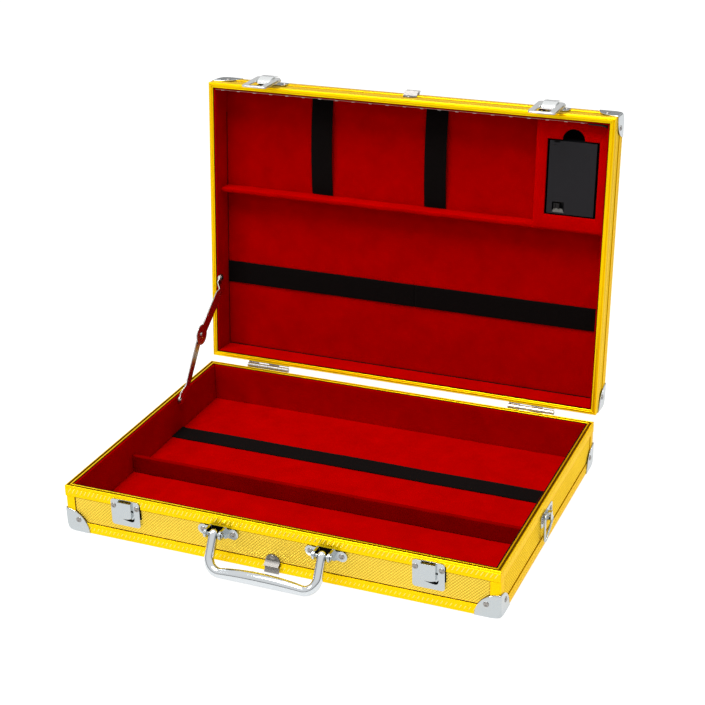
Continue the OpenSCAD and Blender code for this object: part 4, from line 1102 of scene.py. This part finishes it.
def roundedLoop(lo, hi, radius):
    # corner arcs of a rectangle: corner + radius (cos a, sin a)
    a = np.radians(np.arange(4)[:, None] * 90 + np.linspace(0, 90, 8))[..., None]
    way = np.array([(1, 1), (-1, 1), (-1, -1), (1, -1)])[:, None]
    corner = (lo + hi) / 2 + way * ((hi - lo) / 2 - radius)
    return (corner + radius * np.concatenate([np.cos(a), np.sin(a)], -1)).reshape(-1, 2)


def makeLoop(side):
    # a flat frame over each loop's arms, and a near-black slab under its window, painted shade
    s = loopShape
    lo, hi = worldBox("hasp_" + side)
    middle, top, e, o, i = (lo[0] + hi[0]) / 2, hi[2], s["edge"], s["outer"], s["inner"]
    inLo, inHi, lo, hi = lo[:2] + (s["arm"], s["near"]), hi[:2] - (s["arm"], s["far"]), lo[:2], hi[:2]
    rings = [(lo, hi, o, s["thick"]), (lo, hi, o, e), (lo + e, hi - e, o - e, 0), (inLo - e, inHi + e, i + e, 0),
             (inLo, inHi, i, e), (inLo, inHi, i, s["thick"])]
    p = np.stack([raised(roundedLoop(*ring), top - down) for *ring, down in rings])
    addPiece("loopFrame_" + side, (p, gridFaces(*p.shape[:2], closeU=True, closeV=True)), "latch", "hasp_" + side,
             "chrome_trim", crisp=s["crisp"])
    addPiece("loopPad_" + side, softBox(*(s["pad"] + (middle, 0, 0)), s["padRound"]), "foamCore", "lid", "chrome_trim",
             world=True)


for side in ("left", "right"):
    makeLever(side)
    makeLoop(side)

switchShape = {"sides": (40, 10), **inMm(
    knobDrop=(0, 0, 1.1), prong=1.5, prongLow=(0.25, 0.4, 2), prongBack=2.2, round=0.3, sillRun=(5.6, 17.2),
    sillEnd=1.6, sill=3.6, sillTop=0.15, sillLow=1.25, sillFoot=1.35, sillSlant=1.6, sillEdge=0.12, ring=2.7, bead=0.16,
    slotLow=(2.8, 0.8, 0.5), slotHigh=(2.8, 0.8, 0.05), slotRound=0.2)}


def makeSwitch():
    # a knob with two prongs, a sill at its window's foot, a ring moulded on the cover and a slot drawn as a near-black
    # block of painted shade
    s = switchShape
    lo, hi = trayBox("battery_switch")
    knob = [softBox(lo, hi - s["knobDrop"], s["round"])]
    inX, inY, down = s["prongLow"]
    for x in (lo[0] + inX, hi[0] - inX - s["prong"]):
        knob.append(softBox((x, lo[1] + inY, hi[2] - down), (x + s["prong"], hi[1] - s["prongBack"], hi[2]),
                            s["round"]))
    standIn("switchKnob", joinParts(knob), "switch_tab", "battery_switch")
    # a wedge, lower towards its middle
    cLo, cHi = trayBox("battery_cover")
    (x0, x1), y1 = cLo[0] + s["sillRun"], cHi[1] - s["sillEnd"]
    y0, top, low, foot = y1 - s["sill"], *(cHi[2] - s[k] for k in ("sillTop", "sillLow", "sillFoot"))
    plan = [(x0 + s["sillSlant"], y0), (x1 - s["sillSlant"], y0), (x1, y1), (x0, y1)]
    wedge = np.concatenate([raised(plan, foot), raised(plan, (low, low, top, top))])
    sill = addPiece("switchSill", (wedge, tubeFaces(2, 4)), "sill", "battery_box", "box_plastic", smooth=False)
    bevelEdges(sill, s["sillEdge"])
    cover = BVHTree.FromObject(bpy.data.objects["soft_battery_cover"], bpy.context.evaluated_depsgraph_get())
    mark, slot = (toTray(imageSpot(name, cover), True) * (1, 1, 0) + (0, 0, cHi[2])
                  for name in ("coverMark", "coverSlot"))
    stations, sides = s["sides"]
    ring = carry(mark + s["ring"] * raised(circlePlan(stations), 0), s["bead"], sides, closed=True)
    addPiece("coverRing", ring, "switch_tab", "battery_box", "box_plastic")
    # the slot's opening is a near-black block: painted shade
    slot = softBox(slot - s["slotLow"], slot + s["slotHigh"], s["slotRound"])
    addPiece("coverSlot", slot, "foamCore", "battery_box", "box_plastic")


makeSwitch()
print("fittings made")

rivetShape = {"sides": 24, "crisp": 50, "mid": 0.02, **inMm(
    small=3, rim=0.05,      # a smaller solid has its head flush with the metal; (radius, height) of both kinds
    flush=[(1.15, -0.5), (1.15, -0.1), (0.95, 0.02), (0.02, 0.05)],
    dished=[(1.1, -0.8), (1.1, -0.05), (2.7, -0.05), (2.7, 0.2), (2.511, 0.5), (2.16, 0.66), (1.782, 0.66),
            (1.404, 0.45), (0.972, 0.2), (0.405, 0.1), (0.02, 0.08)])}


def makeRivets(side):
    # heads on the CAD's own places: a rivet's axis is the one along which its size differs from the others
    s = rivetShape
    parts = []
    for p in islands(side + "_rivets"):
        lo, hi = p.min(0), p.max(0)
        centre, size = (lo + hi) / 2, hi - lo
        axis = int(np.argmax(np.abs(size - np.median(size))))
        flat = [k for k in range(3) if k != axis]
        if size[flat].max() < s["small"]:
            out = np.sign(centre[axis] - (s["mid"] if axis == 2 else 0))
            seat, profile = (hi if out > 0 else lo)[axis], s["flush"]
        else:
            away = np.linalg.norm(p[:, flat] - centre[flat], axis=1)
            seat, profile = p[away > away.max() - s["rim"], axis].mean(), s["dished"]
            out = 1.0 if hi[axis] - seat < seat - lo[axis] else -1.0
        centre[axis] = seat
        parts.append(lathed(profile, centre, out * np.eye(3)[axis], s["sides"]))
    standIn(side + "Rivets", joinParts(parts), "rivet", side + "_rivets", crisp=s["crisp"])


for side in trays:
    makeRivets(side)

strikeShape = inMm(
    # from the plate's middle and foot
    outer=[(-6.2, 8.1), (-3, 7.0), (0.5, 6.1), (4, 5.5), (6.8, 5.4), (8.4, 6.2), (9.1, 7.8), (9.3, 9.8)],
    inner=[(-6.2, 8.3), (-3, 8.3), (0, 8.3), (3, 8.2), (6, 8.0), (7.6, 8.2), (8.2, 9.0), (8.9, 10.0)],
    hole=((7.4, -0.12, 15.4), (8.7, 0.3, 17.6)), face=(0, 2.3, 0), depths=(0.3, -0.12), round=0.1,
    # from the plate's top right corner
    shade=((-1, 3.15, -18), (0.75, 4, -2.5)))


def makeStrikeShadeMarks():
    # painted shade: a near-black crescent between two curves under each housing, a near-black hole beside it, and a
    # painted shadow behind the plate's right edge
    s = strikeShape
    outer, inner = throughPoints(s["outer"]), throughPoints(s["inner"])
    flat = np.concatenate([outer, inner[::-1]])
    n, m = len(outer), len(flat)
    i = np.arange(n - 1)[:, None]
    quads = np.concatenate([i, i + 1, m - 2 - i, m - 1 - i], 1)
    faces = gridFaces(2, m, closeV=True) + quads[:, ::-1].tolist() + (quads + m).tolist()
    parts = []
    for name in ("left", "right"):
        lo, hi = worldBox("strike_plate_" + name)
        foot = lo * (0, 1, 1) + ((lo[0] + hi[0]) / 2, 0, 0) + s["face"]
        parts += [(foot + np.concatenate([np.insert(flat, 1, y, 1) for y in s["depths"]]), faces),
                  softBox(*(s["hole"] + foot), s["round"]), softBox(*(s["shade"] + (hi[0], lo[1], hi[2])), s["round"])]
    addPiece("strikeGaps", joinParts(parts), "foamCore", "base", "chrome_trim")


makeStrikeShadeMarks()

leadShape = {"sides": 14, "turn": 11, **inMm(thick=1.15, route=[
    # inwards from the lining's right end, back from its front, down from the rim
    (20.0, 1.4, 5.4), (14, 1.5, 5.3), (8, 1.7, 5.4), (4, 2.4, 6.2), (2, 3.8, 8), (1.6, 5, 10), (1.6, 5.2, 13),
    (1.6, 5.2, 16.2), (1.6, 5.6, 18.6), (1.6, 6.8, 19.9), (1.6, 8.6, 20.2), (1.6, 14, 20.2), (1.6, 20, 20.2),
    (1.6, 24.5, 20.2), (1.7, 26.3, 20.2), (2.6, 27.2, 20.2), (4.4, 27.5, 20.2), (7.6, 27.5, 20.2), (11.2, 27.5, 20.2)])}


def makeLead():
    # a lead from the lights to the battery box
    s = leadShape
    lo, hi = trayBox("lid_floor_lining")
    route = (hi[0], lo[1], trays["lid"]["top"]) + s["route"] * (-1, 1, -1)
    lead = outwards(makePiece("lightLead", carry(throughPoints(route), s["thick"], s["sides"]), "lead_jacket", True))
    [tuple(p) for p in fromTray(route[[s["turn"], -1]], True)]
    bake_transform(lead)
    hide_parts("led_lead")


makeLead()
print("rivets, openings and lead made")

lightLook = {
    "band": ((0.0, 0.75), (0.48, 0.65), (0.505, 0.12), (0.54, 0.18), (0.59, 0.65), (0.66, 0.95), (0.86, 1.0)),
    "plain": (0.22, 1.0), "floorHalf": 6.0, "floorGlow": 1.34, "floorShare": (0.0, 0.7), "white": (1, 1, 1, 1),
}
lamps = {
    "overhead": {"at": (-0.2, -0.5, 2.2), "aim": (0, 0, 0.1), "size": 1.2, "power": 53},
    "left": {"at": (-1.8, -1.4, 1.5), "aim": (0, 0, 0.1), "size": 0.4, "power": 10},
    "right": {"at": (1.7, 0.9, 1.1), "aim": (0.2, 0, 0.05), "size": 0.25, "power": 2.5},
}


def setLight():
    # white everywhere the camera looks; metal also sees a darker band low round the studio
    world = bpy.data.worlds.new("studio")
    bpy.context.scene.world = world
    world.use_nodes = True
    tree = world.node_tree
    path = addNode(tree, "LightPath").node.outputs
    height = parted(tree, addNode(tree, "TexCoord", out="Generated"))[2]
    band = rampOn(tree, calc(tree, "MULTIPLY_ADD", height, 0.5, 0.5), [(at, (v, v, v)) for at, v in lightLook["band"]])
    seen = calc(tree, "MAXIMUM", path["Is Camera Ray"], path["Is Transmission Ray"])
    plain = ranged(tree, seen, *lightLook["plain"])
    back = tree.nodes["Background"].inputs
    back["Color"].default_value = lightLook["white"]
    tree.links.new(addNode(tree, "Mix", {0: path["Is Glossy Ray"], 2: plain, 3: band}), back["Strength"])
    for name, lamp in lamps.items():
        data = bpy.data.lights.new(name, "AREA")
        data.size, data.energy = lamp["size"], lamp["power"]
        obj = newObject(name, data)
        obj.location = lamp["at"]
        obj.rotation_euler = (Vector(lamp["at"]) - Vector(lamp["aim"])).to_track_quat("Z", "Y").to_euler()


def layFloor():
    # the camera and the metal see it brighter than the light that it sends back
    mesh = bpy.data.meshes.new("floor")
    s = lightLook["floorHalf"]
    mesh.from_pydata([(-s, -s, 0), (s, -s, 0), (s, s, 0), (-s, s, 0)], [], [(0, 1, 2, 3)])
    mat, tree = newFinish("floorWhite", {"Base Color": (0.8, 0.8, 0.8, 1), "Roughness": 0.9, "Specular IOR Level": 0.0})
    path = addNode(tree, "LightPath").node.outputs
    glow = addNode(tree, "Emission", {"Color": lightLook["white"], "Strength": lightLook["floorGlow"]})
    seen = calc(tree, "MAXIMUM", path["Is Camera Ray"], path["Is Glossy Ray"])
    mixed = addNode(tree, "MixShader", {0: ranged(tree, seen, *lightLook["floorShare"]),
                                        1: tree.nodes["Principled BSDF"].outputs["BSDF"], 2: glow})
    tree.links.new(mixed, tree.nodes["Material Output"].inputs["Surface"])
    mesh.materials.append(mat)
    newObject("floor", mesh)


setLight()
layFloor()
bpy.context.scene.view_settings.view_transform = "Standard"

measuring = {"front": 2 * mm, "tack": 0.6 * mm, "tries": 400}


def finishedVerts(name, graph):
    # places of a finished piece's vertices
    mesh = bpy.data.objects[name].evaluated_get(graph).to_mesh()
    return readAll(mesh.vertices, "co", 3).astype(float)


def shows(place, graph):
    # nothing stands more than two millimetres in front of the place
    start = cameraWorld.translation
    way = Vector(place) - start
    hit, at = bpy.context.scene.ray_cast(graph, start, way.normalized())[:2]
    return not hit or (at - start).length > way.length - measuring["front"]


def measurePoints():
    # differences in pixels between the finished pieces and the image points
    bpy.context.view_layer.update()
    graph = bpy.context.evaluated_depsgraph_get()
    names = [o.name for o in bpy.context.scene.objects
             if o.type == "MESH" and o.name not in nodes and o.name != "floor"]
    places = np.concatenate([finishedVerts(n, graph) for n in names])
    pixels = imagePixels(places)
    found = {}
    for name, axis, way in (("left", 0, 1), ("right", 0, -1), ("top", 1, 1), ("bottom", 1, -1)):
        order = np.argsort(way * pixels[:, axis])[:measuring["tries"]]
        best = next((i for i in order if shows(places[i], graph)), order[0])
        found[name] = [pixels[best, k] if k == axis else None for k in (0, 1)]
    corners = {
        "baseRimFrontLeft": ("baseRimRail", -1, -1, 1), "baseRimFrontRight": ("baseRimRail", 1, -1, 1),
        "baseRimRearRight": ("baseRimRail", 1, 1, 1), "baseFootFrontRight": ("baseCaps", 1, -1, -1),
        "lidRimTopLeft": ("lidRimRail", -1, -1, 1), "lidRimTopRight": ("lidRimRail", 1, -1, 1),
        "lidRimLowRight": ("lidRimRail", 1, 1, 1), "lidRimLowLeft": ("lidRimRail", -1, 1, 1)}
    for name, (piece, *way) in corners.items():
        co = finishedVerts(piece, graph)
        best = np.argmax(toTray(co, piece.startswith("lid")) @ np.array(way))
        found[name] = imagePixels(co[[best]])[0].tolist()
    strap = finishedVerts("lidLongStrap", graph)
    tacked = strap[np.abs(toTray(strap, True)[:, 0] - tackAt) < measuring["tack"]]
    marks = {"coverMark": "coverRing", "coverSlot": "coverSlot", "switchTab": "switchKnob"}
    marked = {name: finishedVerts(piece, graph) for name, piece in marks.items()}
    for name, co in {"tackSeam": tacked, **marked}.items():
        found[name] = imagePixels([p for p in co if shows(p, graph)]).mean(0).tolist()
    return {name: [None if v is None or w is None else round(float(v - w), 2) for v, w in zip(found[name], point)]
            for name, point in imagePoints.items()}


measurePoints()
print("points measured")
